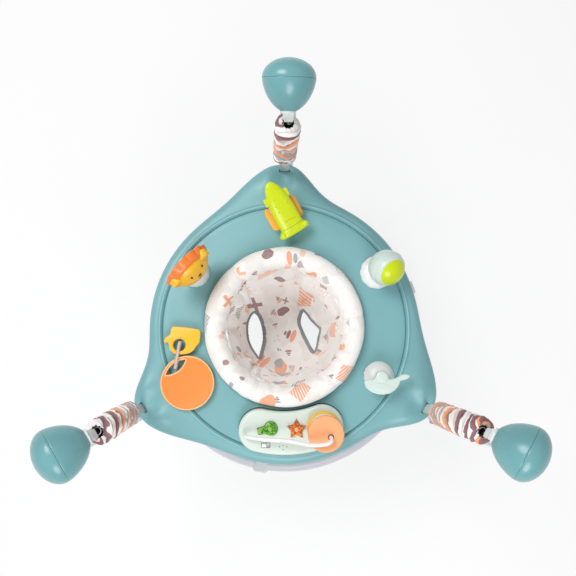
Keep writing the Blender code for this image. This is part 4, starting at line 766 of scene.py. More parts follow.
for name in LEGS:
    leg = Leg(name)
    arc = [polar(RING_R, angle, RING_Z) for angle in span(leg.floor - 59.93, leg.floor + 59.93, 80)]
    piece(f"ring_tube_{name}", rod(arc, RING_TUBE_R, 28), "tube", "frame", f"ring_arc_{name}")
    arc = [polar(RING_R, angle, RING_Z) for angle in span(leg.floor + 58.0, leg.floor + 62.5, 9)]
    piece(f"ring_joint_{name}", rod(arc, 0.0142, 24), "clip", "frame")
    post = leg.head - leg.foot
    wall = drum(POST_R, 0.0, post.length, 0.001)
    piece(f"post_tube_{name}", lathe(wall, placed(leg.foot, post), 48), "tube", "frame", f"post_{name}")
    out = outward(leg.floor).cross(UP)
    button = dome(leg.foot.lerp(leg.head, 0.135) + out * 0.0143, out, 0.0034, 0.0016)
    piece(f"post_button_{name}", button, "steel", "frame")
    for k, height in enumerate((0.070, 0.112)):
        ring = placed(leg.foot.lerp(leg.head, (height - SOCKET_Z) / post.z), post)
        piece(f"cup_band_{k}_{name}", band(0.019, 0.0212 - 0.0006 * k, 0.0016, ring), "white", "frame")

    shell = placed(leg.cap, -leg.axis)
    outer = bow(CAP_R, 0.0306, range(0, 87, 3), 0.0006) + mm((43, 0.6), (42.9, 0.3), (42.5, 0.1), (40, 0.1), (0, 0.1))
    piece(f"cap_shell_{name}", lathe(outer, shell, 96, 60), "cap", "frame", f"cap_outer_{name}")
    deep = [(CAP_R * sqrt(1 - (0.049 * s / 0.0525) ** 1.6), -0.0003 - 0.0487 * s) for s in span(0, 1, 40)[1:]]
    inner = mm((0, -0.1), (40, -0.1), (42.5, -0.1), (42.9, -0.4)) + deep
    inner += mm((13.1, -49.6), (11.2, -49.4), (10.8, -44), (0, -44))
    piece(f"cap_bell_{name}", lathe(inner, shell, 96, 60), "cap", "frame", f"cap_inner_{name}")
    under = placed(leg.foot.lerp(leg.head, 1 - 0.0440 / post.length), post)
    piece(f"cap_lip_{name}", band(0.0150, 0.0168, 0.0020, under), "cap", "frame")

    collar = soften(mm((0, 4), (10.2, 4), (10.2, -0.4), (12.5, -0.4), (12.5, -4.4), (0, -4.4)), 0.0012, False)
    collar = lathe(collar, placed(leg.mouth, -leg.axis), 48)
    bend = leg.mouth + leg.axis * 0.010
    end = leg.tip + (leg.tip - leg.strap).normalized() * 0.016
    way = [(leg.mouth + leg.axis * 0.002).lerp(bend, t).lerp(bend.lerp(end, t), t) for t in span(0, 1, 12)]
    way += [end.lerp(leg.tip, t) for t in span(0, 1, 5)[1:]]
    tongue = flat_bar(way, leg.axis.cross(UP).normalized(), 0.0098, 0.0021, 0.45, 24, 50.0,
                      lambda a, b, *face: (a / 24, b / 17), tapered=0.0022)
    piece(f"hanger_tongue_{name}", [collar, tongue], "clip", "frame", f"hanger_{name}")


# Tray

RIDGE_R = 0.2585
HOLE_R = 0.1460
TRACK_R = 0.1670
GROOVE_R = 0.2520
EDGE_SIDE_R = 0.2820
EDGE_TIP_R = 0.3520
SKIRT_Z = 0.3680
BRIM_FOOT = RIDGE_R + 0.005


def tip_offset(angle):
    """Signed angle in degrees to the nearest tip of the tray."""
    return min((remainder(angle - leg_angle, 360.0) for leg_angle, *rest in LEGS.values()), key=abs)


def tip_share(angle):
    offset = tip_offset(angle)
    return bell(offset, 19.0 if offset > 0 else 12.4)


def edge_radius(angle):
    return EDGE_SIDE_R + (EDGE_TIP_R - EDGE_SIDE_R) * tip_share(angle)


def brim_height(radius, angle):
    """Height of the brim outside the ridge: it falls to the edge, with lobes beside each strap's channel."""
    share = tip_share(angle)
    along = min(1.0, (radius - BRIM_FOOT) / (edge_radius(angle) - BRIM_FOOT))
    power = 2.0 + 1.6 * share
    low = 0.3970 - 0.0070 * share
    height = low + (DECK_Z + 0.0025 - low) * (1 - along**power) ** (1 / power)
    across = abs(radius * sin(radians(tip_offset(angle))))
    lobe, channel = 0.0060 * bell(across - 0.0360, 0.0180), 0.0080 * bell(across, 0.0170)
    return height + eased(radius, 0.2780, 0.3150) * (1 - 0.6 * along**6) * (lobe - channel)


def tray_section(angle):
    """The closed section of the tray's wall at one angle, over the top from the hole to the skirt and back."""
    track, ridge_top = DECK_Z - 0.0010, DECK_Z + 0.0050

    def near(middle, height, *rows):
        return [(middle + x, height + z) for x, z in mm(*rows)]

    section = near(HOLE_R, track, (0, -0.8), (0.6, -0.2), (1.4, 0))
    section += near(TRACK_R, track, (-0.4, 0), (0.2, 0.2), (0.8, 0.8), (1.4, 1))
    section += [(r, DECK_Z) for r in span(TRACK_R + 0.0014, GROOVE_R - 0.0016, 10)[1:]]
    section += near(GROOVE_R, DECK_Z, (-1.1, -0.3), (-0.6, -1.3), (0.4, -1.4), (0.9, 0))
    section += [(RIDGE_R - 0.0056 + 0.0046 * s, DECK_Z + 0.0006 + 0.0044 * sin(pi / 2 * s)) for s in span(0, 1, 6)[1:]]
    meet = brim_height(BRIM_FOOT, angle)
    fall = meet - ridge_top
    section += [(RIDGE_R - 0.0010 + 0.0060 * s, ridge_top + fall * eased(s, 0, 1)) for s in span(0, 1, 6)[1:]]
    edge = edge_radius(angle)
    radii = [BRIM_FOOT + (edge - BRIM_FOOT) * sin(pi / 2 * s) for s in span(0, 1, 18)[1:]]
    section += [(radius, brim_height(radius, angle)) for radius in radii]
    section.append((edge + 0.0003, section[-1][1] - 0.004))
    section += near(edge, SKIRT_Z, (0.3, 1), (-0.4, 0), (-2.6, 0), (-3, 1))
    for s in (0.985, 0.88, 0.70, 0.40):
        radius = BRIM_FOOT + (edge - BRIM_FOOT) * s
        section.append((radius - 0.0030 * s, brim_height(radius, angle) - 0.0030))
    return section + [(BRIM_FOOT, DECK_Z - 0.0030), (HOLE_R, DECK_Z - 0.0030)]


TRAY_STEPS = 60
tray_angles = [leg_angle + 60.0 * copysign(abs(k / TRAY_STEPS) ** 1.4, k) for leg_angle, *rest in LEGS.values()
               for k in range(1 - TRAY_STEPS, TRAY_STEPS + 1)]
tray_rows = [tray_section(angle) for angle in tray_angles]


def tray_place(i, j):
    radius, z = tray_rows[j][i]
    return polar(radius, tray_angles[j], z)


top = grid(len(tray_rows[0]), len(tray_rows), tray_place, lambda a, b, *face: (a / 60, b / 60), True,
           angle=48.0)
tray = piece("tray_shell", top, "tray", "tray", "tray_top")
# Painted light and shade on the tray: a dark rod in the groove is a painted shadow, a lighter rod on the ridge's top
# is a painted highlight
for name, radius, height, thick, sides in (
        ("groove", GROOVE_R, -0.0009, 0.0007, 8), ("ridge", RIDGE_R - 0.0004, 0.0042, 0.0013, 12)):
    arc = [polar(radius, angle, DECK_Z + height) for angle in range(-62, 253, 3)]
    piece(f"{name}_line", rod(arc, thick, sides), name, "tray")
SLOT = soften(box(-0.0030, -0.0120, 0.0030, 0.0120), 0.001)
for name, (leg_angle, *rest) in LEGS.items():
    where = Matrix.Translation(polar(STRAP_R, leg_angle)) @ spun(leg_angle)
    drill(tray, SLOT, 0.380, 0.440, where)
    loop = []
    for x, y in SLOT:
        spot = where @ Vector((x * 1.12, y * 1.03, 0))
        off = spot - AXIS
        loop.append(spot + UP * brim_height(off.to_2d().length, degrees(atan2(off.y, off.x))))
    piece(f"slot_rim_{name}", rod(loop, 0.0007, 8, True), "tray", "tray")


# Cloth seat

SEAMS = (8.0, 77.0, 132.0, 187.0, 245.0, 312.0)
SEAT_STEPS = 160
RIM_LOW, RIM_TOP = 0.4192, 0.4530
RIM_MIDDLE = Vector((0.1412, 0.4340))
RIM_SECTION = curve_through(
    mm((148, 419.2), (158, 420), (164, 426.2), (164.6, 435), (160, 443), (152, 448.4), (143, 450), (134, 448.2),
       (126.2, 442.8), (120.6, 434.5), (118.2, 426.2), (119.6, 420.5), (126, 419.2), (137, 419.2)), 3, True)
RIM_STEPS = len(RIM_SECTION)
rim_arc = lengths_along(RIM_SECTION + RIM_SECTION[:1])


def seat_angle(i):
    return SEAMS[0] + 360.0 * i / SEAT_STEPS


def panel_of(i):
    """Which sewn panel the face belongs to."""
    middle = seat_angle(i + 0.5) % 360.0
    return sum(middle > seam for seam in SEAMS) % len(SEAMS)


def angle_between(angle, other):
    return (angle - other + 180.0) % 360.0 - 180.0


def seam_share(angle, width):
    """How near an angle is to a panel seam, 0 to 1."""
    return bell(min(abs(angle_between(angle, seam)) for seam in SEAMS), width)


def pad_place(i, j):
    angle = seat_angle(i)
    theta = radians(angle)
    spot = RIM_SECTION[j % RIM_STEPS]
    way = (spot - RIM_MIDDLE).normalized()
    top, inner = max(0.0, way.y), max(0.0, -way.x)
    puff = sum(0.0010 * share * sin(cycles * theta + phase)
               for cycles, phase, share in ((5, 0.4, 0.5), (9, 1.9, 0.4), (14, 4.4, 0.3)))
    puff += sum(0.0011 * share * inner * sin(cycles * theta + phase + 3.0 * j / RIM_STEPS)
                for cycles, phase, share in ((31, 0.8, 1.0), (47, 2.9, 0.7), (23, 5.1, 0.8)))
    wrinkle = noise.noise(Vector((22 * cos(theta), 22 * sin(theta), 0.45 * j))) * 0.0014 * top
    tuck = seam_share(angle, 7.0) * inner * 0.0016
    sunk = 0.0030 * seam_share(angle, 1.4) * (0.4 + top)
    spot = spot + way * (puff + wrinkle - sunk - tuck - 0.0010)
    return polar(spot.x, angle, max(RIM_LOW, min(spot.y, RIM_TOP)))


def pad_uv(a, b, i, j):
    return (radians(seat_angle(a)) * 0.140 + 0.37 * panel_of(i), rim_arc[b] + 0.19 * panel_of(i))


def settle(obj, pinned, frames=20, pressure=3.0, cap=0.003):
    """Swells a padded piece as cloth with its seams held, then keeps the result within cap of where it was."""
    before = [v.co.copy() for v in obj.data.vertices]
    group = obj.vertex_groups.new(name="pin")
    group.add([k for k in range(len(before)) if pinned(k)], 1.0, "REPLACE")
    swelling = obj.modifiers.new("cloth", "CLOTH")
    for key, value in (("quality", 5), ("mass", 0.15), ("tension_stiffness", 12), ("compression_stiffness", 12),
                       ("bending_stiffness", 0.4), ("use_pressure", True), ("uniform_pressure_force", pressure),
                       ("vertex_group_mass", group.name)):
        setattr(swelling.settings, key, value)
    swelling.settings.effector_weights.gravity = 0.0
    swelling.point_cache.frame_start = 1
    swelling.point_cache.frame_end = frames
    for step in range(1, frames + 1):
        scene.frame_set(step)
    baked(obj)
    for vertex, old in zip(obj.data.vertices, before):
        move = vertex.co - old
        if move.length > cap:
            vertex.co = old + move.normalized() * cap
    scene.frame_set(1)


def on_seam(k):
    i, j = k % SEAT_STEPS, k // SEAT_STEPS
    return RIM_SECTION[j].y < 0.4225 or seam_share(seat_angle(i), 1.0) > 0.6


pad = piece("seat_pad", grid(SEAT_STEPS, RIM_STEPS, pad_place, pad_uv, True), "seat")
settle(pad, on_seam)
smoother = pad.modifiers.new("finer", "SUBSURF")
smoother.levels = smoother.render_levels = 1
baked(pad)
dress(pad, "seat", "seat", "seat_rim")


def stitches(points, length=0.0026, gap=0.0018, radius=0.00034):
    """A row of short raised threads along a line of points."""
    parts = []
    ready = 0.0
    for a, b in zip(points, points[1:]):
        reach = (b - a).length
        while ready < reach:
            start, end = a.lerp(b, ready / reach), a.lerp(b, min(1.0, (ready + length) / reach))
            if (end - start).length > 0.4 * length:
                parts.append(rod([start, start.lerp(end, 0.5), end], radius, 6))
            ready += length + gap
        ready -= reach
    return joined(parts)


seams = []
for seam in SEAMS:
    for side in (-1.0, 1.0):
        line = []
        for spot in RIM_SECTION[8:30]:
            found, near, normal, face = pad.closest_point_on_mesh(polar(spot.x, seam + side * 1.15, spot.y))
            line.append(near + normal * 0.0001)
        seams.append(stitches(line))
piece("pad_stitches", seams, "thread", "seat")

# Sling of the seat, with its leg holes. Each hole has its middle, the angle of its length, and its outline.

BUCKET_BOTTOM = 0.2134
BUCKET_TOP = 0.4215
BUCKET_R = 0.1282
SLING_STEPS = 60
FLOOR_ROW = 30
HOLES = {
    "left": ((-0.0670, -0.0090, 6.0), mm(
        (-2, 50), (-12.5, 37), (-19.5, 15), (-20, -11), (-14, -33), (-4, -52), (4, -60), (10.5, -42), (17.5, -17),
        (18.5, 11), (14, 35), (7, 48))),
    "right": ((0.0575, 0.0010, 13.0), mm(
        (-3, 49), (-13, 38), (-19.5, 19), (-17, -2), (-12.5, -23), (-8, -43), (-1.5, -57), (9, -45), (18, -25),
        (26.5, -6), (20, 8), (12, 21), (5, 38))),
}
# Angle, width and size of each crease that runs down from the rim
CREASES = ((132, 7, 4.2), (120, 5, -2.6), (77, 7, 4.4), (64, 5, -2.4), (187, 6, 3.6), (172, 5, -2.0), (8, 7, 4.0),
           (-6, 5, -2.2), (232, 6, 3.4), (246, 5, -2.2), (268, 5, 2.2), (292, 5, -2.0), (312, 7, 3.8), (328, 5, -1.8))


def bucket_height(radius):
    share = min(1.0, radius / BUCKET_R)
    return BUCKET_BOTTOM + (BUCKET_TOP - BUCKET_BOTTOM) * share ** (1 / 0.30)


def puckers(x, y):
    """Depth of the cloth's creases, which run out from the elastic round each leg hole and down from the rim."""
    depth = 0.0
    for side, phase in (("left", 0.4), ("right", 1.9)):
        (hx, hy, turn), outline = HOLES[side]
        p = Matrix.Rotation(radians(-turn), 2) @ Vector((x - hx, y - hy))
        q = Vector((p.x / 0.0225, p.y / 0.0600))
        out = q.length - 1.0
        turn = atan2(q.y, q.x)
        near = bell(max(0.0, out), 0.85)
        depth += 0.0052 * near * sin(9 * turn + phase + 1.5 * sin(3 * turn)) * min(1.0, max(0.0, out + 0.15) * 4)
    radius = hypot(x, y)
    run = eased(radius, 0.050, 0.100)
    for angle, width, size in CREASES:
        away = angle_between(degrees(atan2(y, x)), angle) + 160.0 * (0.1 - radius) * sin(angle)
        depth += 0.0015 * size * run * bell(away, width)
    crumple = abs(noise.noise(Vector((x * 21 + 3.0, y * 21, 0.5))))
    crumple += 0.35 * abs(noise.noise(Vector((x * 55, y * 55, 2.5))))
    return depth + 0.0110 * (0.22 - crumple)


def sling_spot(share, angle):
    """A point of the sling, from its top edge, 0, to its bottom middle, 1."""
    theta = radians(angle)
    height = cos(radians(90.0 * share)) ** 1.9 if share < 0.9999 else 0.0
    radius = BUCKET_R * height**0.30
    z = BUCKET_BOTTOM + (BUCKET_TOP - BUCKET_BOTTOM) * height
    steep = eased(radius, 0.085, 0.120)
    crease = puckers(radius * cos(theta), radius * sin(theta)) * (1 - 0.7 * bell(share, 0.12))
    tuck = 0.0066 * bell(share, 0.16) + 0.0090 * bell(share - 0.34, 0.17)
    tuck += 0.0030 * seam_share(angle, 1.2) * (1 - share)
    pinch = min(1.0, radius / 0.02)
    radius += crease * steep - tuck - 0.0012 * steep
    z += (-crease * (1 - steep) + 0.0022) * pinch + 0.0012 * (1 - pinch)
    return polar(max(0.0, radius), angle, max(z, BUCKET_BOTTOM + 0.0002))


def sling_place(i, j):
    return sling_spot(j / SLING_STEPS, seat_angle(i))


def sling_uv(a, b, i, j):
    """Upright panels on the walls, and one flat piece across the bottom."""
    if j >= FLOOR_ROW:
        spot = sling_place(a, b) - AXIS
        return (spot.x * 1.05 + 3.1, spot.y * 1.05 + 2.2)
    return (radians(seat_angle(a)) * 0.112 + 0.31 * panel_of(i) + 1.3, sling_arc[b] + 0.23 * panel_of(i) + 1.1)


def gathered(share):
    return 0.0046 + 0.0003 * sin(2 * pi * 37 * share) + 0.0003 * sin(2 * pi * 61 * share + 1)


sling_arc = lengths_along([sling_spot(share, 0.0) for share in span(0, 1, SLING_STEPS)])
sling = piece("seat_sling", grid(SEAT_STEPS, SLING_STEPS, sling_place, sling_uv, pole=True), "seat")
thicken(sling, 0.0020)
baked(sling)
for side, ((x, y, turn), outline) in HOLES.items():
    where = Matrix.Translation(at(x, y)) @ spun(turn)
    outline = curve_through(outline, 8, True)
    drill(sling, outline, 0.15, 0.35, where)
    loop = []
    for spot in outline:
        over = where @ spot.to_3d()
        plan = over - AXIS
        loop.append(over + UP * (bucket_height(plan.to_2d().length) - puckers(plan.x, plan.y) + 0.0016))
    count = len(loop)
    loop = [(loop[k - 1] + loop[k] + loop[(k + 1) % count]) / 3 for k in range(count)]
    piece(f"leg_binding_{side}", rod(loop, gathered, 12, True), "binding", "seat")
for polygon in sling.data.polygons:
    polygon.use_smooth = True
dress(sling, "seat", "seat", "seat_bucket")


# Gathered sleeves, springs and straps

SLEEVE_ROWS, SLEEVE_AROUND = 220, 80
SLEEVE_START = -0.0115
POST_ROOM = 0.0160
COIL_TURNS, COIL_R, WIRE_R = 26, 0.0130, 0.0013
STRAP_ROUTE = curve_through([(STRAP_R + x, z) for x, z in mm((0, 370.5), (0, 400), (0, 440), (-2, 472), (-12, 492),
                                                             (-15, 506), (-13.6, 521))])


def sleeve_tilt(turn, down, index):
    """How far the folds lean along the sleeve at one side of it."""
    def wander(scale, seed):
        return noise.noise(Vector((down * scale, index * 7.13 + seed, 0.37)))

    lean = 0.0105 * sin(turn + 1.9 * index + 3.0 * wander(14, 0.0))
    return lean + 0.0048 * sin(2 * turn + 4.0 * wander(11, 5.0)) + 0.0030 * wander(34, 9.0)


def sleeve_radius(turn, down, index):
    """Overlapping soft rolls, tilted this way and that, each hanging over the next."""
    phase = (down + sleeve_tilt(turn, down, index)) / FOLD_PITCH
    share = phase - floor(phase)
    roll = sin(pi * share**1.7) ** 0.75
    depth = 0.0062 + 0.0042 * noise.noise(Vector((1.3 * cos(turn), 1.3 * sin(turn), floor(phase) * 1.7 + index)))
    crumple = noise.noise(Vector((3.1 * cos(turn), 3.1 * sin(turn), down * 85 + 17 * index)))
    return 0.0228 - depth * (1 - roll) + 0.0013 * crumple


for index, name in enumerate(LEGS):
    leg = Leg(name)
    way = leg.tip - leg.strap
    axis = way.normalized()
    flank = axis.cross(UP).normalized()
    over = flank.cross(axis)
    end = way.length - 0.0085
    post = (leg.head - leg.foot).normalized()
    radial = outward(leg.floor)
    inner_turn = atan2(-radial.dot(over), -radial.dot(flank))

    def sleeve_row(i, j):
        """A turn, the hem there and how far along the strap a row lies: the hem rides up on the side of the seat."""
        turn = 2 * pi * i / SLEEVE_AROUND
        hem = SLEEVE_START + 0.040 * (0.5 + 0.5 * cos(turn - inner_turn)) ** 1.5
        return turn, hem, hem + (end - hem) * j / SLEEVE_ROWS

    def sleeve_place(i, j):
        turn, hem, along = sleeve_row(i, j)
        radius = sleeve_radius(turn, along - SLEEVE_START, index)
        radius *= 1 - 0.14 * bell(min(along - hem, end - along), 0.0050)
        drawn_in = eased(along, end - 0.0085, end)
        radius = max(0.0158, radius) * (1 - drawn_in) + (0.0112 + 0.0009 * sin(11 * turn + 2 * index)) * drawn_in
        spot = leg.strap + axis * along + radius * (cos(turn) * flank + sin(turn) * over)
        off = spot - leg.foot
        off -= post * off.dot(post)
        return spot + off.normalized() * max(0.0, POST_ROOM - off.length)

    def sleeve_uv(a, b, i, j):
        turn, hem, along = sleeve_row(a, b)
        down = along - SLEEVE_START
        return (0.14 * a / SLEEVE_AROUND, down + sleeve_tilt(turn, down, index))

    sleeve = piece(f"ruched_sleeve_{name}", grid(SLEEVE_AROUND, SLEEVE_ROWS, sleeve_place, sleeve_uv),
                   ruched_cloth(f"sleeve_cloth_{name}", 3.1 * index + 0.4))
    thicken(sleeve, 0.0012)
    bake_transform(sleeve)
    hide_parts(f"sleeve_{name}")

    coil = [leg.strap + axis * 0.0006]
    for t in span(0, 1, 12 * COIL_TURNS):
        turn = 2 * pi * COIL_TURNS * t
        wide = COIL_R * min(1.0, 14 * min(t, 1 - t) + 0.15)
        spot = leg.strap + axis * (0.010 + (way.length - 0.016) * t)
        coil.append(spot + wide * (cos(turn) * flank + sin(turn) * over))
    coil.append(leg.tip - axis * 0.0008)
    spring = piece(f"coil_{name}", rod(coil, WIRE_R, 6), "steel")
    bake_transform(spring)
    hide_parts(f"spring_{name}")

    # Webbing from the spring down through the tray's slot
    webbing = flat_bar([AXIS + radial * reach + UP * z for reach, z in STRAP_ROUTE], UP.cross(radial), 0.0100,
                       0.0009, 0.5, 20, 60.0, lambda a, b, *face: (0.0021 * a, STRAP_ROUTE[b].y))
    strap = piece(f"strap_webbing_{name}", webbing, "webbing", "tray", f"strap_{name}")


# Rocket

ROCKET = Matrix.Translation(at(0.0225, 0.1940, 0.4430)) @ spun(122.0) @ spun(-28.0, "Y")
ROCKET_UP = ROCKET.to_3x3() @ UP
ROCKET_LENGTH = 0.1170
TAIL_WIDTHS = ((0.0, 0.0640), (0.02, 0.0680), (0.05, 0.0664), (0.08, 0.0590), (0.12, 0.0520), (0.16, 0.0500))


def rocket_size(share):
    """Width and height of the body at a share of its length from the tail."""
    width = 0.0500 * sqrt(max(0.0, 1 - max(0.0, (share - 0.3) / 0.705) ** 2.2))
    for (a, first), (b, second) in zip(TAIL_WIDTHS, TAIL_WIDTHS[1:]):
        if a <= share < b:
            width = first + (second - first) * eased(share, a, b)
    height = 0.0250 * sqrt(max(0.0, 1 - max(0.0, (share - 0.4) / 0.603) ** 2.4))
    return width, height * (0.92 + 0.08 * eased(share, 0.0, 0.03))


def rocket_top(x, y):
    """A place on the upper side of the body."""
    width, height = rocket_size(x / ROCKET_LENGTH)
    rise = max(0.0, 1 - min(1.0, abs(2 * y / width)) ** 2.857) ** 0.35
    return ROCKET @ Vector((x, y, height / 2 * rise))


def rocket_ring(share, grow=0.0):
    width, height = rocket_size(share)
    ring = [squarish(turn, 0.7) for turn in span(0, 2 * pi, 48)[:-1]]
    return [ROCKET @ Vector((ROCKET_LENGTH * share, (width / 2 + grow) * x, (height / 2 + grow) * z)) for x, z in ring]


shares = [0.0, 0.008, 0.02, 0.035, 0.05, 0.065, 0.08, 0.10, 0.12, 0.14, 0.16]
shares += [0.16 + 0.84 * sin(pi / 2 * t) for t in span(0, 1, 36)[1:-1]] + [0.9995]
rings = [rocket_ring(share) for share in shares]
body = [grid(48, len(rings) - 1, lambda i, j: rings[j][i], lambda a, b, *face: (a / 48, b / 48), caps=True,
             angle=SHARP)]
body.append(plate([soften(box(0.0745, -0.0270, 0.0905, 0.0270), 0.0015)], -0.0032, 0.0032, 0.0010, ROCKET))
for x, y in mm((80.8, -10.1), (67.5, -11.8), (54.8, -12.8), (83.1, 9.2), (70, 11.2), (56.8, 12.1)):
    body.append(dome(rocket_top(x, y), ROCKET_UP, 0.0024, 0.0012))
for side in (-1, 1):
    body.append(dome(rocket_top(0.0070, side * 0.0255), ROCKET_UP, 0.0056, 0.0022))
for x, y in mm((11, 8), (12.5, -7)):
    body.append(dome(rocket_top(x, y), ROCKET_UP, 0.0030, 0.0007))
frill = [rocket_top(0.0185 + 0.0006 * cos(y * 500), y * 0.0220) for y in span(-1, 1, 24)]
body.append(rod(frill, 0.0007, 8))
piece("rocket_shell", body, "lime", "rocket", "rocket_body")
# Painted shade: darker lime rods in the slit and along the ring line across the body, where the grooves are shaded
slit = [rocket_top(0.0328 - 9.0 * (y + 0.001) ** 2 + 0.02 * y, y) for y in span(-0.0140, 0.0110, 25)]
marks = [rod(slit, 0.0006, 8), rod(rocket_ring(0.145, -0.0001), 0.0006, 6, True)]
piece("rocket_groove_shade", marks, "lime_deep", "rocket")
fin = mm((15.2, 19.8), (19.2, 33.12), (27.2, 36), (44, 36), (58, 36), (65.9, 33.12), (67.9, 28.8), (64.9, 23.04),
         (50, 20.16))
fin = curve_through(fin + [(x, -y) for x, y in fin[::-1]], 5, True)
piece("rocket_fin_plate", plate([fin], -0.0178, -0.0128, 0.0020, ROCKET), "amber", "rocket", "rocket_fins")

# Lion

LION_NORMAL = Vector((0.73091, -0.68158, 0.0349)).normalized()
LION_SPOT = Vector((-0.19966, 0.09336, 0.50293))
LION_UP = (UP - LION_NORMAL * UP.dot(LION_NORMAL)).normalized()
LION_ACROSS = LION_UP.cross(LION_NORMAL)
LION = Matrix.Translation(LION_SPOT) @ Matrix((LION_ACROSS, LION_UP, LION_NORMAL)).transposed().to_4x4()
FACE_R, FACE_BULGE = 0.0410, 0.0280
FACE_LOW = 0.0043
FACE_RIM = FACE_LOW + 0.003


def on_face(across, up, lift=0.0):
    radius = hypot(across, up) / FACE_R
    return Vector((across, up, FACE_RIM + FACE_BULGE * sqrt(max(0.0, 1 - radius**2)) + lift))


def face_normal(across, up):
    local = Vector((across / FACE_R**2, up / FACE_R**2, (on_face(across, up).z - FACE_RIM) / FACE_BULGE**2))
    return LION.to_3x3() @ local.normalized()


def tufts(turn, h):
    """The mane's wavy edge, deepest at its rear rim."""
    return 1 - (0.070 + 0.018 * sin(3 * turn)) * (1 - abs(sin(7 * turn)) ** 0.7) * eased(0.0150 - h, 0.0, 0.0150)


ruff = curve_through(mm((0, 7), (30, 8), (39.5, 13), (42.4, 13.8), (45.2, 11.5), (49.2, 5), (52.6, -1), (52.8, -3.4),
                        (50.5, -4), (46, -2.6), (38, -2.6), (35, -4), (30, -4), (27, -2.4), (0, -2)), 4)
piece("lion_ruff", lathe(ruff, LION, 280, 70, tufts), "orange", "lion", "lion_mane")
profile = bow(FACE_R, FACE_BULGE, range(0, 91, 3), FACE_RIM)
profile += [(FACE_R, FACE_LOW + 0.0008), (FACE_R - 0.0008, FACE_LOW), (0.0, FACE_LOW)]
head = [lathe(profile, LION, 96, 50)]
for side in (-1, 1):
    ear = LION @ Matrix.Translation((side * 0.86 * FACE_R, 0.50 * FACE_R, 0.0))
    head.append(lathe(drum(0.0115, FACE_LOW, 0.0195, 0.0035), ear, 40))
    cheek = (0.004 + side * 0.0085, 0.0050)
    head.append(egg(LION @ on_face(*cheek, -0.0022), face_normal(*cheek), 0.0092, 0.0078, 0.0034))
piece("lion_head", head, "yellow", "lion", "lion_face")
marks = []
for across, up, wide, tall in mm((19.5, 22.5, 2.2, 3.4), (-10.5, 24, 2.2, 3.4), (4.2, 13.5, 4.6, 2.6)):
    spot = LION @ on_face(across, up, 0.0002)
    level = placed(spot, face_normal(across, up)).to_3x3().inverted() @ LION_ACROSS
    marks.append(egg(spot, face_normal(across, up), wide, tall, 0.0011, atan2(level.y, level.x)))
for side in (-1, 1):
    line = [(0.0042 + side * 0.0075 * t, 0.0100 - 0.0058 * sin(pi * t * 0.8)) for t in span(0, 1, 8)]
    marks.append(rod([LION @ on_face(*spot, 0.0010) for spot in line], 0.0004, 6))
piece("lion_marks", marks, "face", "lion")
knob = dome(LION @ Vector((0.0, -0.004, -0.0052)), -LION_NORMAL, 0.0135, 0.0070, 40)
piece("lion_knob", knob, "white", "tray")

# Ball and its base

BALL = at(0.2050, 0.1150, 0.4720)
BALL_R = 0.0360
BALL_SPLIT = Vector((0.45, -0.55, 0.70)).normalized()
BALL_CUT = 0.0220
BALL_FOOT = at(0.1930, 0.1130)


def scallops(turn, h):
    return 1 - 0.045 * (1 - abs(sin(11 * turn / 2)) ** 0.7)


split = degrees(acos(BALL_CUT / BALL_R))
place = placed(BALL, BALL_SPLIT)
wedge = bow(BALL_R, BALL_R, span(0.0, split - 0.9, 24))
wedge += [(wedge[-1][0] - 0.0006, BALL_CUT + 0.0003), (0.0, BALL_CUT + 0.0003)]
piece("ball_lime", lathe(wedge, place, 96, 50), "lime", "ball", "ball_wedge")
shell = [(0.0, BALL_CUT), (BALL_R * sin(radians(split)) - 0.0008, BALL_CUT)]
shell += bow(BALL_R, BALL_R, span(split + 0.5, 180.0, 48))
parts = [lathe(shell, place, 96, 50)]
lean = (BALL - (BALL_FOOT + UP * 0.429)).normalized()
for away, wide, side, wave in ((112.0, 0.0016, lean, 2.0), (134.0, 0.0018, lean, 2.0),
                               (split + 14.0, 0.0011, BALL_SPLIT, 0.0), (split + 31.0, 0.0012, BALL_SPLIT, 0.0)):
    first = side.cross(Vector((0, 1, 0))).normalized()
    loop = []
    for turn in span(0, 2 * pi, 96)[:-1]:
        bend = radians(away + wave * cos(9 * turn))
        out = first * cos(turn) + side.cross(first) * sin(turn)
        loop.append(BALL + (BALL_R - 0.0004) * (side * cos(bend) + out * sin(bend)))
    parts.append(rod(loop, wide, 10, True))
piece("ball_mint", parts, "mint", "ball", "ball_shell")
base = soften(mm((0, 430.5), (17, 430), (26, 426.8), (33, 421.5), (35, 418), (35, 415.3), (0, 415.3)), 0.0025, False)
stalk = soften(mm((0, 0), (6, 0), (6, -40), (11, -45), (0, -45)), 0.002, False)
parts = [lathe(base, Matrix.Translation(BALL_FOOT), 120, 45, scallops), lathe(stalk, placed(BALL, lean), 40)]
piece("ball_stand", parts, "white", "tray", "ball_base")

# Whale and its base

WHALE_FOOT = at(0.1945, -0.1020)
WHALE = Matrix.Translation(WHALE_FOOT + UP * 0.4480)
outline = curve_through(
    mm((-32.5, -6), (-34.5, -12), (-30, -22.5), (-18, -31), (-2, -34.5), (14, -32.5), (26.5, -25), (34, -16),
       (36.5, -8.5), (40, -6.8), (47.5, -5), (54.5, -1), (55, 3), (48, 5.8), (40, 4.8), (32, 0), (24, -3), (15, -4),
       (12.4, 4), (6, 11.2), (-3, 12.4), (-10, 8), (-12.8, 0), (-18, -5), (-24, -4)), 5, True)
hub, cheek, eye = (WHALE @ Vector(p) for p in mm((0, 0, 10.6), (2, -20, 10), (-21, -16, 10.6)))
parts = [plate([outline], 0.0, 0.0108, 0.0028, WHALE, 5), dome(hub, UP, 0.0118, 0.0026, 40),
         egg(cheek, UP, 0.0240, 0.0095, 0.0020, -0.15), dome(eye, UP, 0.0016, 0.0010)]
piece("whale_plate", parts, "mint", "whale", "whale_body")
slit = mm((0, -7.2, 11.8), (6, -7.2, 11.8), (11.4, -7.2, 11.8))
fold = curve_through(mm((-9.5, -7, 11.2), (-5, -12, 11.6), (-0.4, -19, 11.8)), 5)
marks = [rod([WHALE @ Vector(p) for p in line], 0.0005, 8) for line in (slit, fold)]
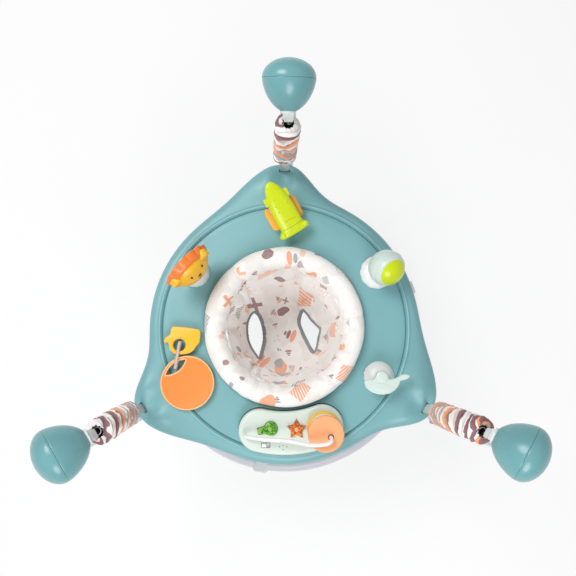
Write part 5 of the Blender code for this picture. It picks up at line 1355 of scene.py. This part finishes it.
piece("whale_marks", marks, "clip", "whale")
base = mm((0, 436.8), (12, 436.6), (21.5, 433), (29, 423.5), (31, 418.5), (31, 415.3), (0, 415.3))
pin = mm((0, 450), (5.2, 449), (5.2, 430), (0, 430))
place = Matrix.Translation(WHALE_FOOT)
parts = [lathe(soften(base, 0.0030, False), place, 96, 45), lathe(pin, place, 32)]
for angle in (150, 166, 330, 346):
    parts.append(egg(WHALE_FOOT + outward(angle, 0.0292) + UP * 0.4185, UP, 0.0030, 0.0030, 0.0030))
piece("whale_stand", parts, "white", "tray", "whale_base")

# Elephant, teether and ribbon

ELEPHANT = Matrix.Translation(at(-0.2085, -0.0300, 0.4243))
EYE = (-0.0055, -0.0090)
trunk = mm((-20, 29), (6, 27.5), (34, 22.8), (37.5, 18), (37.2, 8), (35, -5), (30, -10), (27.5, -13), (24, -20),
           (14, -26.2), (0, -28.4), (-15, -27), (-25, -19), (-27.2, -8), (-29.5, -2), (-33.5, -4.8), (-38, -3.5),
           (-36.8, 1.5), (-33, 7), (-26.2, 11.2), (-24, 17), (-22.8, 25))
parts = [plate([soften(trunk, 0.0025, True, 4), circle(0.0125, EYE)[::-1]], 0.0, 0.0060, 0.0016, ELEPHANT)]
parts.append(rod(lifted(circle(0.0146, EYE), 0.0058, ELEPHANT), 0.0012, 10, True))
peg = mm((0, 2), (7, 2), (7, -9), (0, -9))
parts.append(lathe(peg, ELEPHANT @ Matrix.Translation((0.020, 0.010, 0)), 32))
piece("elephant_plate", parts, "yellow", "tray", "elephant")

TEETHER_SPOT = Vector((-0.1965, -0.1155, 0.4203))
TEETHER = Matrix.Translation(AXIS + TEETHER_SPOT)
HANDLE = 128.0
HANDLE_OFF = outward(HANDLE, 0.0396)


def lens_loop(grow, count=24):
    """The pointed oval of the teether's handle."""
    length, half = 0.0260 + grow, 0.0090 + grow
    radius = (length**2 + half**2) / (2 * half)
    reach = asin(length / radius)
    turns = span(reach, -reach, count)[:-1]
    local = [side * Vector((radius * sin(t), radius * cos(t) - radius + half)) for side in (1, -1) for t in turns]
    spin = Matrix.Rotation(radians(HANDLE + 90), 2)
    return [HANDLE_OFF.to_2d() + spin @ p for p in local]


disc = mm((0, 6.2), (20, 6.3), (36, 6.7), (48, 7.6), (52, 8.4), (54.5, 7.2), (54.8, 5), (54.5, 2.2), (52.8, 0.6),
          (51, 0), (0, 0))
disc = piece("teether_pad", lathe(disc, TEETHER, 120, 50), "teether", "teether", "teether_disc")
drill(disc, lens_loop(0.0), -0.01, 0.02, TEETHER)
# Painted highlight: lighter orange rods along the disc's rounded rim and round the handle's hole
rims = [rod(lifted(circle(0.0533, count=120), 0.0074, TEETHER), 0.0016, 10, True),
        rod(lifted(lens_loop(0.0012), 0.0068, TEETHER), 0.0017, 10, True)]
piece("teether_rims", rims, "rim_light", "teether")

# The ribbon's route, as reach from the elephant's eye and height, and its folded section
eye_spot = Vector((-0.2085 + EYE[0], -0.0300 + EYE[1], 0))
hold = TEETHER_SPOT * Vector((1, 1, 0)) + HANDLE_OFF - eye_spot
across = hold.normalized()
side = UP.cross(across)
near, far = -0.0066, hold.length + 0.0020
route = curve_through([(near, 0.4296), (near + 0.003, 0.4316), (0.30 * far, 0.4326), (0.62 * far, 0.4322),
                       (far - 0.003, 0.4306), (far, 0.4292), (far, 0.4207), (far - 0.003, 0.4193),
                       (0.62 * far, 0.4188), (0.30 * far, 0.4206), (near + 0.003, 0.4230), (near, 0.4240)], 6, True)
route_arc = lengths_along(route + route[:1])
FOLD = mm((3, 0.7), (1, 0.9), (-1.2, 0.9), (-2.6, 0.7), (-3.1, 0), (-2.6, -0.7), (-1.2, -0.9), (1, -0.9), (3, -0.7))
bm = bmesh.new()
layer = bm.loops.layers.uv.new("UVMap")
count = len(route)
rows = []
for j, spot in enumerate(route):
    way = (route[(j + 1) % count] - route[j - 1]).normalized()
    twist = Matrix.Rotation(0.18 * sin(2 * pi * j / count), 2)
    rows.append([])
    for u, v in (twist @ Vector(p) for p in FOLD):
        reach, z = spot + Vector((-way.y, way.x)) * v
        rows[-1].append(bm.verts.new(AXIS + eye_spot + across * reach + side * u + UP * z))
for j in range(count):
    for i in range(len(FOLD) - 1):
        corners = ((i, j), (i + 1, j), (i + 1, j + 1), (i, j + 1))
        face = bm.faces.new([rows[b % count][a] for a, b in corners])
        face.smooth = True
        for loop, (a, b) in zip(face.loops, corners):
            loop[layer].uv = (0.0015 * a, route_arc[b])
mesh = bpy.data.meshes.new("ribbon")
bm.to_mesh(mesh)
bm.free()
ribbon = piece("ribbon_loop", mesh, "ribbon", "teether", "ribbon_link")
thicken(ribbon, 0.0005, 0.0)

# Console

CONSOLE_R = 0.2145
CONSOLE_TOP = 0.4400
CONSOLE_LOW = DECK_Z + 0.0003
BUTTON_TOP = CONSOLE_TOP + 0.0055


def bean(shrink=0.0):
    """The console's outline: a bent slot shape that follows the seat."""
    half = 0.0425 - shrink
    ends = (-103.1, -68.9)
    out = []
    for side, start, end in ((1, *ends), (-1, *ends[::-1])):
        out += [polar(CONSOLE_R + side * half, angle) for angle in span(start, end, 16)]
        out += [polar(CONSOLE_R, end) + side * outward(end + a, half) for a in range(9, 180, 9)]
    return [p.to_2d() for p in out]


def on_console(x, y, z=CONSOLE_TOP):
    return at(x, y - CONSOLE_R, z)


def bulb_outline(grow=0.0):
    head, base = on_console(-0.0262, 0.0100).to_2d(), on_console(-0.0520, 0.0039).to_2d()
    along = (base - head).normalized()
    neck, radius = 0.0070 + grow, 0.0135 + grow
    meet = asin(neck / radius)
    first = atan2(along.y, along.x)
    points = [head + radius * Vector((cos(t), sin(t))) for t in span(first + meet, first + 2 * pi - meet, 32)]
    end = base + along * grow
    wide = Vector((-along.y, along.x)) * neck * 0.9
    return points + soften([points[-1], end - wide, end + wide, points[0]], 0.0015, False)[1:-1]


def star_outline(grow=0.0):
    centre = on_console(0.0253, 0.0085)
    points = [centre + outward(90 + 36 * k, (0.0105 if k % 2 else 0.0206) + grow) for k in range(10)]
    return soften([p.to_2d() for p in points], 0.0032, True, 4)


def rectangle(w, h, centre):
    x, y = centre.to_2d()
    return soften(box(x - w / 2, y - h / 2, x + w / 2, y + h / 2), 0.0012)


knob = on_console(-0.0361, -0.0230)
housing = plate([bean()], CONSOLE_LOW, CONSOLE_TOP, 0.0060, steps=6)
housing = piece("console_body", housing, "housing", "tray", "console_housing")
for outline, deep in ((bulb_outline(0.0005), 0.0080), (star_outline(0.0005), 0.0080),
                      (rectangle(0.0170, 0.0090, knob), 0.0040)):
    drill(housing, outline, CONSOLE_TOP - deep, CONSOLE_TOP + 0.01)
ridge_room = box(0.2510, 0.4203, 0.2900, 0.4000)
cut(housing, lathe([*ridge_room, ridge_room[0]], Matrix.Translation(AXIS), 160))
drill(housing, rectangle(0.0650, 0.0350, on_console(0.0, 0.0005)), CONSOLE_LOW - 0.01, CONSOLE_LOW + 0.0030)
flat_faced(housing)
# Painted shadow: a dark rod round the console's foot, where the gap to the deck is shaded
gap = [p for p in lifted(bean(-0.0007), DECK_Z + 0.0004) if (p - AXIS).to_2d().length < 0.2500]
piece("console_gap_shadow", rod(gap, 0.0011, 8), "dark", "tray")
for name, outline, pale, spot, material in (("bulb", bulb_outline, "green_pale", (-0.0278, 0.0093), "green_lens"),
                                            ("star", star_outline, "amber_pale", (0.0253, 0.0080), "amber_lens")):
    made = plate([outline()], CONSOLE_TOP - 0.0057, BUTTON_TOP, 0.0016)
    flat_faced(piece(f"{name}_lens", made, material, name, f"{name}_button"))
    piece(f"{name}_window", dome(on_console(*spot, BUTTON_TOP), UP, 0.0043, 0.0007), pale, name)
    piece(f"{name}_lip", rod(lifted(outline(0.0012), CONSOLE_TOP), 0.0006, 8, True), "housing", "tray")
cap = rectangle(0.0070, 0.0088, on_console(-0.0484, 0.0048))
piece("bulb_cap", plate([cap], CONSOLE_TOP + 0.0050, CONSOLE_TOP + 0.0058, 0.0003), "green_pale", "bulb")
well = plate([rectangle(0.0168, 0.0088, knob)], CONSOLE_TOP - 0.0040, CONSOLE_TOP - 0.0037, 0.0001, steps=1)
piece("switch_well", well, "clip", "tray")
# Painted shadow: a dark rod round the switch's pocket, where its wall shades the edge
edge = lifted(rectangle(0.0172, 0.0092, knob), CONSOLE_TOP + 0.0001)
piece("switch_edge_shadow", rod(edge, 0.0005, 8, True), "hole", "tray")
# Painted shade: dark low domes stand for the speaker's holes, which are dark inside from shade
dots = [(0.0, 0.0)] + [(0.0075 * cos(radians(a)), 0.0078 * sin(radians(a))) for a in range(54, 343, 72)]
dots = [dome(on_console(-0.0014 + x, -0.0232 + y, CONSOLE_TOP - 0.0001), UP, 0.0012, 0.0003, 16) for x, y in dots]
piece("speaker_shade_dots", dots, "hole", "tray")
rays = []
for reach in (0.0170, 0.0225, 0.0280):
    line = [on_console(-0.0520, 0.0060) + outward(a, reach) for a in range(150, 211, 10)]
    rays.append(rod(line, 0.0006, 8))
piece("console_rays", rays, "housing", "tray")

RAIL_FOOT = (0.0925, -0.0045)
RAIL_WIRE_R = 0.0040
BEAD_TALL = 0.0080
rail = mm((-78, -2.5, -5.7), (-78, -2.5, 4), (-70, -5, 15), (-35, -8.5, 23), (8, -10, 31), (50, -16.5, 37),
          (80, -15.5, 39), (92, -9.5, 36), (92.5, -4.5, 27))
rail = curve_through([on_console(x, y, CONSOLE_TOP + z) for x, y, z in rail], 8)
rail.append(on_console(*RAIL_FOOT, CONSOLE_TOP - 0.0057))
piece("rail_rod", rod(rail, RAIL_WIRE_R, 24), "white", "tray", "bead_rail")
for name, radius, shift, bottom in (
        ("yellow", 0.0330, (-0.0135, 0.0170), 0.0058), ("peach", 0.0360, (-0.0095, 0.0060), 0.0141)):
    bottom += CONSOLE_TOP
    top = bottom + BEAD_TALL
    off = Vector((*shift, 0.0))
    centre = on_console(*RAIL_FOOT, 0.0) + off
    place = Matrix.Translation(centre)
    rise = ((0.90, 0.0), (0.955, 0.0003), (0.985, 0.0015))
    edge = [(0.0, top - 0.0008), (0.7 * radius, top - 0.0006)] + [(share * radius, top - drop) for share, drop in rise]
    edge += [(radius, (top + bottom) / 2)] + [(share * radius, bottom + drop) for share, drop in rise[::-1]]
    edge.append((0.0, bottom))
    bead = piece(f"bead_{name}_disc", lathe(edge, place, 96, 50), name, f"{name}_bead", f"bead_{name}")
    hole = circle(0.0047, -off)
    drill(bead, hole, bottom - 0.01, top + 0.01, place)
    loop = [centre + Vector((x, y, 0.0)) * 1.12 + off * 0.12 + UP * (top - 0.0006) for x, y in hole]
    piece(f"bead_{name}_grommet", rod(loop, 0.0010, 10, True), "red", f"{name}_bead")
    if name == "yellow":
        white = plate([circle(0.0295, (0.0012, -0.0016), 96), circle(0.0056, -off)[::-1]], top - 0.0012,
                      top + 0.0001, 0.0004, place)
        piece("bead_yellow_face", white, "housing", "yellow_bead")


# Studio

ground = add("floor", bpy.data.meshes.new("floor"))
ground.data.from_pydata([(x, y, -0.0005) for x, y in box(-12, -12, 12, 12)], [], [(0, 1, 2, 3)])
g = Graph("floor")
path = g.node("LightPath")
seen = g.either(path["Is Camera Ray"], g.either(path["Is Glossy Ray"], path["Is Transmission Ray"]))
diffuse = g.node("BsdfDiffuse", {"Color": (0.93, 0.93, 0.935)})
glow = g.node("Emission", {"Color": (1.0, 1.0, 1.0), "Strength": 1.0})
g.feed(g.tree.nodes["Material Output"].inputs["Surface"], g.node("MixShader", {0: seen * 0.72, 1: diffuse, 2: glow}))
g.tree.nodes.remove(g.shader)
ground.data.materials.append(g.material)

scene.world = bpy.data.worlds.new("studio")
scene.world.use_nodes = True
background = scene.world.node_tree.nodes["Background"]
background.inputs["Color"].default_value = (1.0, 1.0, 1.0, 1.0)
background.inputs["Strength"].default_value = 0.45


def area(name, location, target, size, energy):
    light = bpy.data.lights.new(name, "AREA")
    light.shape = "DISK"
    light.size = size
    light.energy = energy
    lamp = add(name, light)
    lamp.location = location
    lamp.rotation_euler = (Vector(target) - Vector(location)).to_track_quat("-Z", "Y").to_euler()


area("key", (-1.1, 0.9, 2.7), (0, 0, 0.3), 1.4, 39)
area("front", (0.1, -1.7, 1.9), (0, 0, 0.4), 1.2, 22)

camera = add("camera", bpy.data.cameras.new("camera"))
camera.data.lens = 37.5
camera.data.sensor_width = 36.0
camera.location = at(0.0080, -0.0580, 1.660)
camera.rotation_euler = (radians(6.33), 0.0, radians(0.09))
scene.camera = camera
